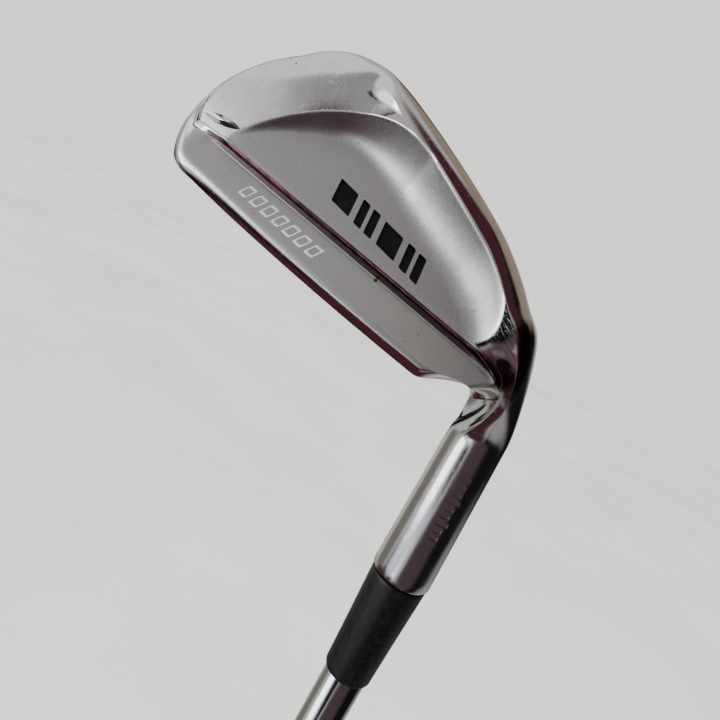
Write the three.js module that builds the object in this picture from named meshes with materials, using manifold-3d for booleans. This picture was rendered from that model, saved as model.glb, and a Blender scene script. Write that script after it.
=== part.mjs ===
// A forged iron golf club: a plated muscle-back blade head, a plastic ferrule, a stepped steel shaft and
// a rubber grip, with the bond, plug, tape and band that hold it together.
//
// Frame: millimetres. The shaft axis is +Z, from the grip to the head, and the origin is on that axis where
// the hands hold the grip. The toe of the head points to +X and the strike face looks towards -Y.
// It is a right-handed club.

import * as THREE from "three";
import { mergeVertices } from "three/addons/utils/BufferGeometryUtils.js";
import Module from "manifold-3d";

const wasm = await Module();
wasm.setup();

// ---- Driving dimensions ----

const CLUB_LENGTH = 952.5; // butt end to the ground line under the heel, along the shaft (37.5 in)
const HOLD_FROM_BUTT = 130; // the origin's distance from the butt end
const LIE = THREE.MathUtils.degToRad(60.5); // shaft axis to the ground
const LOFT = THREE.MathUtils.degToRad(28); // strike face to the vertical
const FACE_PROGRESSION = 3.5; // leading edge in front of the shaft axis

const HOSEL_TOP = 64.8; // ground line to the hosel's top face, along the shaft
const HOSEL_TOP_RADIUS = 6.5;
const HOSEL_NECK_RADIUS = 5.9;
const BORE_RADIUS = 4.95;
const BORE_DEPTH = 31;
const BORE_CHAMFER = 0.8;

const FERRULE_LENGTH = 25.4;
const FERRULE_TIP_RADIUS = 5.4;
const FERRULE_ROUND = 1.3; // rounding of the ferrule's thin end
const JOINT_GAP = 0.3;

const TIP_RADIUS = 4.7; // 0.370 in parallel tip
const BUTT_RADIUS = 7.62; // 0.600 in butt
const SHAFT_WALL = 0.7;
const TIP_PLAIN = 210; // plain tube at the tip, before the first step
const STEP_COUNT = 12;
const STEP_PITCH = 36;
const SLIDE_GAP = 0.05; // bonded cylinders keep this radial clearance

const PLUG_LENGTH = 21.5;
const PLUG_INSET = 0.5; // from the tip of the tube to the plug's end

const GRIP_LENGTH = 267;
const GRIP_CAP_THICKNESS = 3;
const GRIP_CAP_RADIUS = 13.6;
const GRIP_BUTT_RADIUS = 13.2;
const GRIP_MOUTH_RADIUS = 8.7;
const VENT_RADIUS = 1.5;
const TAPE_THICKNESS = 0.2;

const BAND_LENGTH = 60;
const BAND_FROM_GRIP = 9;
const BAND_THICKNESS = 0.15;

// The head, in the blade's own axes: x to the toe, y up the strike face, z from the face to the back.
// Their origin is on the ground line, where the strike face passes under the shaft axis.
const TOP_HEIGHT = 33.0; // topline at x = 0
const TOP_SLOPE = 0.3465;
const TOP_CAMBER = 0.6;
const TOP_MIDDLE = 28;
const TOE_CENTRE = [57.4, 33]; // centre of the ellipse that rounds the toe into the topline
const TOE_REACH = 15.0;
const TOE_RISE = 21.3;
const TOE_TURN = 47; // x where the sole begins to turn up to the toe
const TOE_DROP = 31.2; // from the toe's tip down to the sole
const TOE_SQUARENESS = 1.75; // power of the curve by which the sole turns up
const TOE_EDGE = 2.7; // length over which the edge of the toe rounds off
const LEADING_EDGE = 2.0; // height of the leading edge at the middle of the sole
const SOLE_MIDDLE = 33; // x of the lowest point of the sole
const SOLE_CAMBER = 185; // radius of the sole, heel to toe
const SOLE_ROCKER = 30; // radius of the sole, front to back
const SOLE_FLAT = 7; // distance from the leading edge to where the sole is level with the loft
const HEEL_RISE = [18, 19, 1.9]; // where the sole starts to rise to the heel, over what length, how much
const HEEL_LIFT = [14, 16, 1.6]; // the same for its trailing side
const STRIP_DEPTH = 4.7; // thickness of the blade along the topline
const BEVEL_TOP = [23.75, 0.35]; // line where the step bevel leaves the strip: height at x = 0, slope
const CREST = [22.7, 0.35]; // line of the crest over the step bevel
const BEVEL_LEAST = 0.7; // least width of the step bevel
const CREST_DEPTH = 7.6;
const SOLE_WIDEST = 43; // x beyond which the sole rounds off in plan
const TOE_PLAN = 26.5;
const HEEL_PLAN = 0.24;
const RIM_HEIGHT = 12.2; // height of the rim over the sole
const RIM_DEPTH = 15.2;
const TRAILING_DEPTH = 15.9; // depth of the sole's trailing edge
const RIM_ROUND = 3.6; // how far the rim's rounding reaches down the sole
const RIM_BEVEL = 1.4; // least height of the rim over the trailing edge
const EDGE_ROUND = 0.8; // rounding of the topline and of the leading edge
// The rounded topline's points: share of the rounding below its top, share of the strip's depth.
const TOPLINE = [[0.25, 0.13], [0, 0.43], [0.12, 0.79], [1, 1]];
const RIM_POINTS = [0.35, 0.7]; // shares of the rim's rounding at which it has a point
const SOLE_POINTS = [1, 0.65, 0.35, 0.06]; // shares of the sole's width at which it has a point
const THIN_CREST = 0.4; // how little the crest stands over the strip where it starts at the toe
const CREST_START = [64, 9]; // x where the crest starts at the toe, and the length over which it grows
// Near the toe the section is short, and these shares of its height keep its lines in order.
const TRAILING_SHARE = 0.3;
const RIM_SHARE = 0.45;
const CREST_SHARE = 0.1;
const BEVEL_SHARE = 0.12;
const PAD_MIDDLE = [60, 30, 8.9]; // a point of the flat pad behind the toe
const PAD_SLOPE = [-0.173, -0.164]; // change of the pad's depth towards the toe and up the face
const PAD_START = [38, 10]; // x where the back begins to turn into the pad, and over what length
const PAD_BLEND = 2.5; // rounding where the pad meets the rim
const CORNER_START = [50, 10]; // where the pad begins to fall away to the toe's lower corner
const CORNER_FALL = 0.026;
const FIELD_FLOOR = 7.5; // depth of the recess between the crest and the rim
const FIELD_FILLET = 4;
const FIELD_REACH = 20; // how far the recess's cutter goes out past the back
const FIELD_OPENING = 18; // and up past the crest
const FIELD_OUTLINE = {
  toe: [58, 36],
  toeCorner: [48, 15.5],
  soleToe: [30, 12.4],
  soleHeel: [8, 12.8],
  heelCorner: [-3, 13.5],
  heel: [-5.5, 21.5],
};
const NECK_PIVOT = [-1, 36.3]; // x and height over the ground of the line about which the neck turns
const HEEL_ROUND = 12; // width over which the sole rounds up into the hosel
const CROTCH_RADIUS = 9.6; // pivot to the topline
const CROTCH_HOLLOW = 1.6; // extra depth of the crotch between the topline and the hosel

const SCORE_COUNT = 13;
const SCORE_PITCH = 2.9;
const SCORE_FIRST = 7;
const SCORE_WIDTH = 0.85;
const SCORE_DEPTH = 0.45;
const SCORE_HEEL = 6;
const SCORE_TOE = 58;
const SCORE_MARGIN = 4; // score lines stop this far from the topline

const TOE_START = 50; // the sections get closer together from here to the tip of the toe
const TOE_TIP = TOE_CENTRE[0] + TOE_REACH - 0.2;
const TOE_STATIONS = 12;
const MID_STATIONS = 10;
const MID_END = 2; // x of the last plain section, short of the neck
const NECK_STATIONS = 12;
const FACE_POINTS = 8; // points up the strike face in each section of the blade
const ROUND_SEGMENTS = 32;

// ---- Materials ----

const steel = (name, roughness) =>
  new THREE.MeshStandardMaterial({ name, color: 0xc9cacb, roughness, metalness: 1 });

const MATERIALS = {
  head: steel("plated_forging", 0.18),
  shaft: steel("plated_tube", 0.12),
  plug: steel("plain_steel", 0.45),
  ferrule: new THREE.MeshStandardMaterial({ color: 0x0b0b0c, roughness: 0.35, metalness: 0 }),
  rubber: new THREE.MeshStandardMaterial({ color: 0x1b1b1c, roughness: 0.85, metalness: 0 }),
  epoxy: new THREE.MeshStandardMaterial({ color: 0x8f8a6a, roughness: 0.4, metalness: 0 }),
  tape: new THREE.MeshStandardMaterial({ color: 0xd8d2bd, roughness: 0.8, metalness: 0 }),
  band: new THREE.MeshStandardMaterial({ color: 0x2c2e33, roughness: 0.4, metalness: 0 }),
};

// ---- Helpers ----

const clamp = THREE.MathUtils.clamp;
const lerp = THREE.MathUtils.lerp;
const smooth = (t) => THREE.MathUtils.smoothstep(t, 0, 1);

// The smaller of two values, with the corner between them rounded over a width k.
function softMin(a, b, k) {
  const h = Math.max(k - Math.abs(a - b), 0) / k;
  return Math.min(a, b) - (h * h * k) / 4;
}

const softMax = (a, b, k) => -softMin(-a, -b, k);

// A solid of revolution about Z from a closed list of [radius, z] points.
function turned(profile) {
  const points = profile.map(([radius, z]) => new THREE.Vector2(radius, z));
  const onAxis = profile[0][0] === 0 && profile.at(-1)[0] === 0;
  if (!onAxis) points.push(points[0].clone());
  return new THREE.LatheGeometry(points, ROUND_SEGMENTS).rotateX(Math.PI / 2);
}

// A closed tube wall from an outer profile, from -Z to +Z, and a bore radius at each of its points.
const tube = (outer, boreAt) =>
  turned([...outer, ...outer.map(([radius, z]) => [boreAt(radius, z), z]).reverse()]);

// Geometry to a manifold solid, and back.
function solid(geometry) {
  const bare = geometry.clone();
  bare.deleteAttribute("normal");
  bare.deleteAttribute("uv");
  const merged = mergeVertices(bare, 1e-4);
  return new wasm.Manifold(
    new wasm.Mesh({
      numProp: 3,
      vertProperties: merged.attributes.position.array,
      triVerts: new Uint32Array(merged.index.array),
    }),
  );
}

function geometryOf(made) {
  const mesh = made.getMesh();
  const geometry = new THREE.BufferGeometry();
  geometry.setAttribute("position", new THREE.BufferAttribute(mesh.vertProperties, 3));
  geometry.setIndex(new THREE.BufferAttribute(mesh.triVerts, 1));
  geometry.computeVertexNormals();
  return geometry;
}

// Skin over a list of rings with the same number of points, closed at both ends by a fan.
function loft(rings) {
  const count = rings[0].length;
  const positions = rings.flat().flatMap((p) => [p.x, p.y, p.z]);
  const triangles = [];
  for (let ring = 0; ring + 1 < rings.length; ring += 1) {
    for (let i = 0; i < count; i += 1) {
      const next = (i + 1) % count;
      const [a, b] = [ring * count + i, ring * count + next];
      const [c, d] = [a + count, b + count];
      triangles.push(a, c, b, b, c, d);
    }
  }
  for (const [ring, flip] of [[0, true], [rings.length - 1, false]]) {
    const centre = new THREE.Vector3();
    rings[ring].forEach((p) => centre.addScaledVector(p, 1 / count));
    const middle = positions.length / 3;
    positions.push(centre.x, centre.y, centre.z);
    for (let i = 0; i < count; i += 1) {
      const [a, b] = [ring * count + i, ring * count + ((i + 1) % count)];
      triangles.push(...(flip ? [a, b, middle] : [b, a, middle]));
    }
  }
  const geometry = new THREE.BufferGeometry();
  geometry.setAttribute("position", new THREE.Float32BufferAttribute(positions, 3));
  geometry.setIndex(triangles);
  return geometry;
}

// ---- The head's lines, as functions of x along the blade ----

const LINE_BLEND = 1.5; // rounding where two of the outline's curves meet

const line = ([height, slope], x) => height + slope * x;

function topHeight(x) {
  const bow = TOP_CAMBER * (1 - ((x - TOP_MIDDLE) / TOP_MIDDLE) ** 2);
  const topline = TOP_HEIGHT + TOP_SLOPE * x + Math.max(bow, 0);
  const share = clamp((x - TOE_CENTRE[0]) / TOE_REACH, 0, 1);
  return softMin(topline, TOE_CENTRE[1] + TOE_RISE * Math.sqrt(1 - share * share), LINE_BLEND);
}

function lowHeight(x) {
  const [start, length, rise] = HEEL_RISE;
  const heel = rise * clamp((start - x) / length, 0, 2) ** 2;
  const camber = LEADING_EDGE + (x - SOLE_MIDDLE) ** 2 / (2 * SOLE_CAMBER) + heel;
  const share = clamp((x - TOE_TURN) / (TOE_CENTRE[0] + TOE_REACH - TOE_TURN), 0, 1);
  const toe = TOE_CENTRE[1] - TOE_DROP * Math.sqrt(1 - share ** TOE_SQUARENESS);
  return softMax(camber, toe, LINE_BLEND);
}

// Share of the sole's full width at x: it narrows a little to the heel and rounds off at the toe.
function solePlan(x) {
  const toe = clamp((x - SOLE_WIDEST) / TOE_PLAN, 0, 0.98);
  const heel = clamp((SOLE_WIDEST - x) / SOLE_WIDEST, 0, 1.1);
  return Math.sqrt(1 - toe * toe) * (1 - HEEL_PLAN * heel * heel);
}

// Share of the thickness that the rounded toe edge leaves.
function toeEdge(x) {
  const share = clamp((x - TOE_TIP) / TOE_EDGE + 0.9, 0, 0.98);
  return Math.sqrt(1 - share * share);
}

function soleHeight(x, z) {
  const [start, length, lift] = HEEL_LIFT;
  const across = z * Math.cos(LOFT) - SOLE_FLAT;
  const rocker = (across ** 2 - SOLE_FLAT ** 2) / (2 * SOLE_ROCKER * Math.cos(LOFT));
  const heel = lift * smooth((start - x) / length) * (z / TRAILING_DEPTH) ** 2;
  return lowHeight(x) + z * Math.tan(LOFT) + rocker + heel;
}

// Depth of the pad behind the toe: a tilted plane that falls away to the lower corner.
function padDepth(x, y) {
  const beyond = Math.max(0.8 * (x - CORNER_START[0]) - 0.6 * (y - CORNER_START[1]), 0);
  const plane = PAD_SLOPE[0] * (x - PAD_MIDDLE[0]) + PAD_SLOPE[1] * (y - PAD_MIDDLE[1]);
  return PAD_MIDDLE[2] + plane - CORNER_FALL * beyond ** 2;
}

// The blade's section at x, as [y, z] points: up the face, over the topline, down the back, along the sole.
function bladeSection(x) {
  const low = lowHeight(x);
  const high = topHeight(x);
  const plan = solePlan(x);
  const edge = toeEdge(x);
  const strip = STRIP_DEPTH;
  const span = high - low;
  const trailing = Math.max(TRAILING_DEPTH * plan, strip - 0.4);
  const rimDepth = Math.max(RIM_DEPTH * plan, strip);
  const crestDepth = lerp(strip + THIN_CREST, CREST_DEPTH, smooth((CREST_START[0] - x) / CREST_START[1]));
  const trailingHeight = Math.min(soleHeight(x, trailing), low + span * TRAILING_SHARE);
  const rimHeight = clamp(RIM_HEIGHT, trailingHeight + RIM_BEVEL * plan, low + span * RIM_SHARE);
  const bevelTop = Math.min(line(BEVEL_TOP, x), high - span * BEVEL_SHARE);
  const crest = clamp(line(CREST, x), rimHeight + span * CREST_SHARE, bevelTop - BEVEL_LEAST);
  const face = Array.from({ length: FACE_POINTS }, (_, i) => [
    lerp(low + EDGE_ROUND, high - EDGE_ROUND, i / (FACE_POINTS - 1)),
    0,
  ]);
  const top = TOPLINE.map(([down, back]) => [high - EDGE_ROUND * down, strip * back]);
  const onPad = smooth((x - PAD_START[0]) / PAD_START[1]);
  const underPad = ([y, z]) => [y, lerp(z, Math.max(softMin(z, padDepth(x, y), PAD_BLEND), 0), onPad)];
  const muscle = [0, 0.25, 0.5, 0.75, 1].map((t) => {
    const height = lerp(crest, rimHeight, t);
    const depth = lerp(crestDepth, rimDepth, t);
    return [height, lerp(depth, padDepth(x, height), t > 0 ? onPad : 0)];
  });
  const back = [[lerp(high, bevelTop, 0.5), strip], [bevelTop, strip], ...muscle];
  const soleStart = Math.max(trailing - RIM_ROUND * plan, 0.3 * trailing);
  const soleAt = (depth) => new THREE.Vector2(Math.min(soleHeight(x, depth), trailingHeight), depth);
  const corner = new THREE.Vector2(trailingHeight, Math.max(rimDepth, trailing * 0.97));
  const rimStart = new THREE.Vector2(rimHeight, rimDepth);
  const rounding = new THREE.QuadraticBezierCurve(rimStart, corner, soleAt(soleStart));
  const rim = RIM_POINTS.map((t) => underPad(rounding.getPoint(t).toArray()));
  const sole = SOLE_POINTS.map((t) => underPad(soleAt(soleStart * t).toArray()));
  const middle = strip / 2;
  return [...face, ...top, ...back, ...rim, ...sole].map(([y, z]) => [y, middle + (z - middle) * edge]);
}

// Blade axes to the part's frame.
const toToe = new THREE.Vector3(Math.sin(LIE), 0, Math.cos(LIE));
const upFace = new THREE.Vector3(
  Math.cos(LOFT) * Math.cos(LIE),
  Math.sin(LOFT),
  -Math.cos(LOFT) * Math.sin(LIE),
);
const toBack = new THREE.Vector3().crossVectors(toToe, upFace);
const bladeFrame = new THREE.Matrix4()
  .makeBasis(toToe, upFace, toBack)
  .setPosition(0, -FACE_PROGRESSION, CLUB_LENGTH - HOLD_FROM_BUTT);

const bladePoint = (x, y, z) => new THREE.Vector3(x, y, z).applyMatrix4(bladeFrame);

// The neck's ring at an angle about the pivot line: the heel section of the blade fades into the hosel.
function neckRing(angle) {
  const [pivotX, pivotHeight] = NECK_PIVOT;
  const heel = bladeSection(pivotX);
  const axisDistance = pivotX * Math.sin(LIE) + pivotHeight * Math.cos(LIE);
  const turn = angle / LIE;
  const fade = smooth(turn);
  const inner =
    lerp(CROTCH_RADIUS, axisDistance - HOSEL_NECK_RADIUS, turn) + CROTCH_HOLLOW * Math.sin(Math.PI * turn);
  const across = heel.map(([y, z]) => y * Math.sin(LOFT) + z * Math.cos(LOFT) - FACE_PROGRESSION);
  const down = heel.map(([y, z]) => pivotHeight - y * Math.cos(LOFT) + z * Math.sin(LOFT));
  const [least, most] = [Math.min(...down), Math.max(...down)];
  const outer = softMin(most, (axisDistance + HOSEL_NECK_RADIUS) / Math.cos(LIE - angle), HEEL_ROUND);
  const outward = new THREE.Vector3(-Math.cos(LIE - angle), 0, Math.sin(LIE - angle));
  const pivot = new THREE.Vector3(0, 0, CLUB_LENGTH - HOLD_FROM_BUTT)
    .addScaledVector(toToe, pivotX)
    .add(new THREE.Vector3(Math.cos(LIE), 0, -Math.sin(LIE)).multiplyScalar(pivotHeight));
  return heel.map((_, i) => {
    const around = HOSEL_ANGLES[i];
    const depth = lerp((down[i] - least) / (most - least), (1 + Math.sin(around)) / 2, fade);
    const width = lerp(across[i], -HOSEL_NECK_RADIUS * Math.cos(around), fade);
    return pivot
      .clone()
      .addScaledVector(outward, lerp(inner, outer, depth))
      .add(new THREE.Vector3(0, width, 0));
  });
}

// Where each point of the heel section comes to lie round the hosel: by its distance along the section,
// with the middle of the strike face at the front.
function hoselAngles() {
  const points = bladeSection(NECK_PIVOT[0]).map(([y, z]) => new THREE.Vector2(y, z));
  const travelled = [0];
  points.forEach((p, i) => travelled.push(travelled[i] + p.distanceTo(points[(i + 1) % points.length])));
  const round = travelled.pop();
  const faceMiddle = travelled[FACE_POINTS - 1] / 2;
  return travelled.map((length) => (2 * Math.PI * (faceMiddle - length)) / round);
}

const HOSEL_ANGLES = hoselAngles();

function hoselRing(fromGround, radius) {
  return HOSEL_ANGLES.map(
    (around) =>
      new THREE.Vector3(
        -radius * Math.sin(around),
        -radius * Math.cos(around),
        CLUB_LENGTH - HOLD_FROM_BUTT - fromGround,
      ),
  );
}

function headBody() {
  const toeStations = Array.from({ length: TOE_STATIONS }, (_, i) =>
    lerp(TOE_START, TOE_TIP, Math.sin((1 - i / TOE_STATIONS) * (Math.PI / 2))),
  );
  const midStations = Array.from({ length: MID_STATIONS }, (_, i) =>
    lerp(TOE_START, MID_END, i / (MID_STATIONS - 1)),
  );
  const blade = [...toeStations, ...midStations].map((x) =>
    bladeSection(x).map(([y, z]) => bladePoint(x, y, z)),
  );
  const neck = Array.from({ length: NECK_STATIONS }, (_, i) => neckRing((i / (NECK_STATIONS - 1)) * LIE));
  const hosel = [
    hoselRing(HOSEL_TOP - 0.8, HOSEL_TOP_RADIUS),
    hoselRing(HOSEL_TOP, HOSEL_TOP_RADIUS - 0.35),
  ];
  return solid(loft([...blade, ...neck, ...hosel]));
}

// The recess in the back: a plug with a rounded foot, cut down to its floor. It is open over the crest.
function fieldCutter() {
  const { toe, toeCorner, soleToe, soleHeel, heelCorner, heel } = FIELD_OUTLINE;
  const outline = new THREE.Shape();
  outline.moveTo(...toe);
  outline.quadraticCurveTo(...toeCorner, ...soleToe);
  outline.lineTo(...soleHeel);
  outline.quadraticCurveTo(...heelCorner, ...heel);
  outline.lineTo(heel[0], heel[1] + FIELD_OPENING);
  outline.lineTo(toe[0], toe[1] + FIELD_OPENING);
  outline.closePath();
  const plug = new THREE.ExtrudeGeometry(outline, {
    depth: FIELD_REACH,
    curveSegments: 8,
    bevelEnabled: true,
    bevelThickness: FIELD_FILLET,
    bevelSize: FIELD_FILLET,
    bevelOffset: -FIELD_FILLET,
    bevelSegments: 3,
  });
  return solid(plug.translate(0, 0, FIELD_FLOOR + FIELD_FILLET).applyMatrix4(bladeFrame));
}

function scoreCutter(index) {
  const y = SCORE_FIRST + index * SCORE_PITCH;
  const heel = Math.max(SCORE_HEEL, (y + SCORE_MARGIN - TOP_HEIGHT) / TOP_SLOPE);
  const groove = new THREE.BoxGeometry(SCORE_TOE - heel, SCORE_WIDTH, 2 * SCORE_DEPTH);
  return solid(groove.translate((SCORE_TOE + heel) / 2, y, 0).applyMatrix4(bladeFrame));
}

function boreCutter() {
  const top = CLUB_LENGTH - HOLD_FROM_BUTT - HOSEL_TOP;
  return solid(
    turned([
      [0, top - 2],
      [BORE_RADIUS + BORE_CHAMFER, top - 2],
      [BORE_RADIUS + BORE_CHAMFER, top],
      [BORE_RADIUS, top + BORE_CHAMFER],
      [BORE_RADIUS, top + BORE_DEPTH],
      [0, top + BORE_DEPTH + 2],
    ]),
  );
}

function clubhead() {
  let head = headBody().subtract(fieldCutter()).subtract(boreCutter());
  for (let index = 0; index < SCORE_COUNT; index += 1) {
    head = head.subtract(scoreCutter(index));
  }
  return geometryOf(head);
}

// ---- Shaft and what sits on it ----

const BUTT_Z = -HOLD_FROM_BUTT;
const HOSEL_TOP_Z = CLUB_LENGTH - HOLD_FROM_BUTT - HOSEL_TOP;
const TIP_Z = HOSEL_TOP_Z + BORE_DEPTH - 1;
const SHAFT_BUTT_Z = BUTT_Z + GRIP_CAP_THICKNESS + JOINT_GAP;
const GRIP_MOUTH_Z = BUTT_Z + GRIP_LENGTH;

function shaft() {
  const growth = (BUTT_RADIUS - TIP_RADIUS) / STEP_COUNT;
  const outer = [];
  for (let step = STEP_COUNT; step > 0; step -= 1) {
    const z = TIP_Z - TIP_PLAIN - (step - 1) * STEP_PITCH;
    const radius = TIP_RADIUS + step * growth;
    if (step === STEP_COUNT) outer.push([radius, SHAFT_BUTT_Z]);
    outer.push([radius, z - 1], [radius - growth, z]);
  }
  outer.push([TIP_RADIUS, TIP_Z]);
  return tube(outer, (radius) => radius - SHAFT_WALL);
}

function tipPlug() {
  const radius = TIP_RADIUS - SHAFT_WALL - SLIDE_GAP;
  const end = TIP_Z - PLUG_INSET;
  const start = end - PLUG_LENGTH;
  return turned([
    [0, start],
    [radius - 0.6, start],
    [radius, start + 1],
    [radius, end],
    [0, end],
  ]);
}

function hoselEpoxy() {
  const [inner, outer] = [TIP_RADIUS + SLIDE_GAP, BORE_RADIUS - SLIDE_GAP];
  return tube([[outer, HOSEL_TOP_Z + 1], [outer, TIP_Z - 0.2]], () => inner);
}

function ferrule() {
  const thick = HOSEL_TOP_Z - JOINT_GAP;
  const thin = thick - FERRULE_LENGTH;
  const bore = TIP_RADIUS + SLIDE_GAP;
  const rounded = [0.15, 0.5, 0.85].map((t) => {
    const angle = (t * Math.PI) / 2;
    return [
      FERRULE_TIP_RADIUS - FERRULE_ROUND * 0.5 * (1 - Math.sin(angle)),
      thin + FERRULE_ROUND * (1 - Math.cos(angle)),
    ];
  });
  return tube(
    [...rounded, [HOSEL_TOP_RADIUS - 0.35, thick - 0.5], [HOSEL_TOP_RADIUS - 0.5, thick]],
    () => bore,
  );
}

function gripTape() {
  const inner = BUTT_RADIUS + SLIDE_GAP;
  const outer = inner + TAPE_THICKNESS;
  return tube([[outer, SHAFT_BUTT_Z + 2], [outer, GRIP_MOUTH_Z - 2]], () => inner);
}

// The rubber sleeve with its cap: the cap's rim stands proud and a vent hole goes through it.
function grip() {
  const bore = BUTT_RADIUS + TAPE_THICKNESS + 2 * SLIDE_GAP;
  const capTop = BUTT_Z + GRIP_CAP_THICKNESS;
  const body = [0.02, 0.3, 0.65, 1].map((t) => [
    lerp(GRIP_BUTT_RADIUS, GRIP_MOUTH_RADIUS, t ** 0.8),
    lerp(capTop + 3, GRIP_MOUTH_Z, t),
  ]);
  return turned([
    [VENT_RADIUS, BUTT_Z],
    [GRIP_CAP_RADIUS - 1.4, BUTT_Z],
    [GRIP_CAP_RADIUS - 0.4, BUTT_Z + 0.5],
    [GRIP_CAP_RADIUS, BUTT_Z + 1.5],
    [GRIP_CAP_RADIUS, capTop],
    ...body,
    [bore, GRIP_MOUTH_Z],
    [bore, capTop],
    [VENT_RADIUS, capTop],
  ]);
}

function shaftBand() {
  const inner = BUTT_RADIUS + SLIDE_GAP;
  const start = GRIP_MOUTH_Z + BAND_FROM_GRIP;
  return tube([[inner + BAND_THICKNESS, start], [inner + BAND_THICKNESS, start + BAND_LENGTH]], () => inner);
}

// ---- Assembly ----

const club = new THREE.Group();
club.name = "iron_golf_club";

function place(name, geometry, material) {
  const mesh = new THREE.Mesh(geometry, material);
  mesh.name = name;
  club.add(mesh);
}

place("clubhead", clubhead(), MATERIALS.head);
place("ferrule", ferrule(), MATERIALS.ferrule);
place("hosel_epoxy", hoselEpoxy(), MATERIALS.epoxy);
place("shaft", shaft(), MATERIALS.shaft);
place("tip_plug", tipPlug(), MATERIALS.plug);
place("grip_tape", gripTape(), MATERIALS.tape);
place("grip", grip(), MATERIALS.rubber);
place("shaft_band", shaftBand(), MATERIALS.band);

export default club;
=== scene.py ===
"""Looks of a forged iron golf club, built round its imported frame.

Lengths in this script are millimetres until a mesh is made, and the frame is the CAD's: +Z along the shaft
from the grip to the head, the toe to +X, the strike face towards -Y, the origin at the hold on the grip.
The head is modelled in the blade's own axes: x to the toe, y up the strike face, z from the face to the back.
"""

import functools
import math

import bmesh
import bpy
import numpy as np
from mathutils import Matrix, Vector

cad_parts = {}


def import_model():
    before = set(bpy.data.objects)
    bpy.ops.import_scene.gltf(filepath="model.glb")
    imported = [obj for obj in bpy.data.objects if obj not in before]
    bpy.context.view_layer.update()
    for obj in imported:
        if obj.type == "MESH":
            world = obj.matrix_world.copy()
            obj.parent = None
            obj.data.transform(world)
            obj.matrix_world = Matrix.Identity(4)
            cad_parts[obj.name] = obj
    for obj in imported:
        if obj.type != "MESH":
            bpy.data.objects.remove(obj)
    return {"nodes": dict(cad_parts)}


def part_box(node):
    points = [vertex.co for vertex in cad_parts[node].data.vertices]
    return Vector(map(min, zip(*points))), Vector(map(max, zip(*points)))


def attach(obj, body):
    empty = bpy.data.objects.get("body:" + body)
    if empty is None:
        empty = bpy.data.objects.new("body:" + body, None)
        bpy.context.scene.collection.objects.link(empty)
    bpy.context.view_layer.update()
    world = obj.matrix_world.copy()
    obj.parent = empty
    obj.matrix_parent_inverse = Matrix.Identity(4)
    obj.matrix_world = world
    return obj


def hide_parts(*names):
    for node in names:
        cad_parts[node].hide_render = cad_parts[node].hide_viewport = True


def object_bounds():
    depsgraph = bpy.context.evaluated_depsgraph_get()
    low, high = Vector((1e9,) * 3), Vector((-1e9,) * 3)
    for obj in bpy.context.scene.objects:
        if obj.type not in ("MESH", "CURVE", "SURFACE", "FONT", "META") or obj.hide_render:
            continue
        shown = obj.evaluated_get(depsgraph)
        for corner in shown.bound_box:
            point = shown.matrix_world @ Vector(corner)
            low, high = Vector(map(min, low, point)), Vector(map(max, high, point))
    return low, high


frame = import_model()
CAD_BOX = [list(corner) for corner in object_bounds()]

MM = 0.001

# ---- Driving dimensions of the head ----

LIE = math.radians(60.5)
LOFT = math.radians(28)
FACE_PROGRESSION = 3.5
HOSEL_TOP = 64.8  # ground line to the hosel's top face, along the shaft
HOSEL_TOP_RADIUS = 6.5
HOSEL_NECK_RADIUS = 5.9
HOSEL_LIP = ((0.15, 0.12), (0, 0.4))  # points of its rounded rim: below the top face, in from its radius

TOP_HEIGHT = 33.0
TOP_SLOPE = 0.3465
TOP_CAMBER = 0.6
TOP_MIDDLE = 28
CORNER_BLEND = 1.5  # width over which two lines of the outline blend where they meet
TOE_CENTRE = (57.4, 33.0)
TOE_REACH = 15.0
TOE_RISE = 21.3
TOE_TIP = TOE_CENTRE[0] + TOE_REACH
TOE_DROP = 31.2
TOE_TURN = 47  # where the sole begins to turn up to the toe
TOE_CURVE = 1.75  # power of that turn
LEADING_EDGE = 2.0
SOLE_MIDDLE = 33
SOLE_CAMBER = 185
SOLE_ROCKER = 30
SOLE_LOWEST = 7  # how far behind the face the sole is lowest
SOLE_WIDEST = 43
TOE_PLAN = 26.5
HEEL_PLAN = 0.24
STRIP_DEPTH = 4.7
BEVEL_TOP = (23.75, 0.350)
CREST = (22.7, 0.350)
BEVEL_LEAST = 0.7  # least width of the bevel
BEVEL_STEP = 0.15  # share of the bevel's width that its steep foot takes
BEVEL_SLOPE = 1.05  # rise over run of the chamfer above the foot
CREST_DEPTH = 7.6
RIM_HEIGHT = 12.2
RIM_DEPTH = 15.4
RIM_ROUND = 3.6  # how far the rim's rounding reaches down the sole
TRAILING_DEPTH = 15.9
SOLE_WIDTH = 14.0
FIELD_FLOOR = 7.5
PARTING = (2.0, 3.9)  # depth of the widest line of the rounded edge: along the topline, and round the toe
NECK_PIVOT = (-1.0, 36.3)
HEEL_ROUND = (14, 7, 3)
HEEL_LIFT = 1.6
HEEL_RISE = 1.9
HEEL_RISE_FROM = 18
HEEL_RISE_RUN = 19
CROTCH_RISE = 15
CROTCH_ROUND = 3.0

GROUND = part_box("clubhead")[0][2] / MM + HOSEL_TOP  # height of the ground line on the shaft axis

TO_TOE = np.array([math.sin(LIE), 0, math.cos(LIE)])
UP_FACE = np.array([math.cos(LOFT) * math.cos(LIE), math.sin(LOFT), -math.cos(LOFT) * math.sin(LIE)])
TO_BACK = np.cross(TO_TOE, UP_FACE)
BLADE_AXES = np.array([TO_TOE, UP_FACE, TO_BACK])
BLADE_ORIGIN = np.array([0, -FACE_PROGRESSION, GROUND])
UP = np.array([math.cos(LIE), 0, -math.sin(LIE)])


def to_row(points):
    """Blade axes to the frame, both in millimetres."""
    return np.asarray(points) @ BLADE_AXES + BLADE_ORIGIN


def to_blade(points):
    """The frame to blade axes, both in millimetres."""
    return (np.asarray(points) - BLADE_ORIGIN) @ BLADE_AXES.T


# ---- Small maths ----


def lerp(a, b, t):
    return a + (b - a) * t


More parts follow.
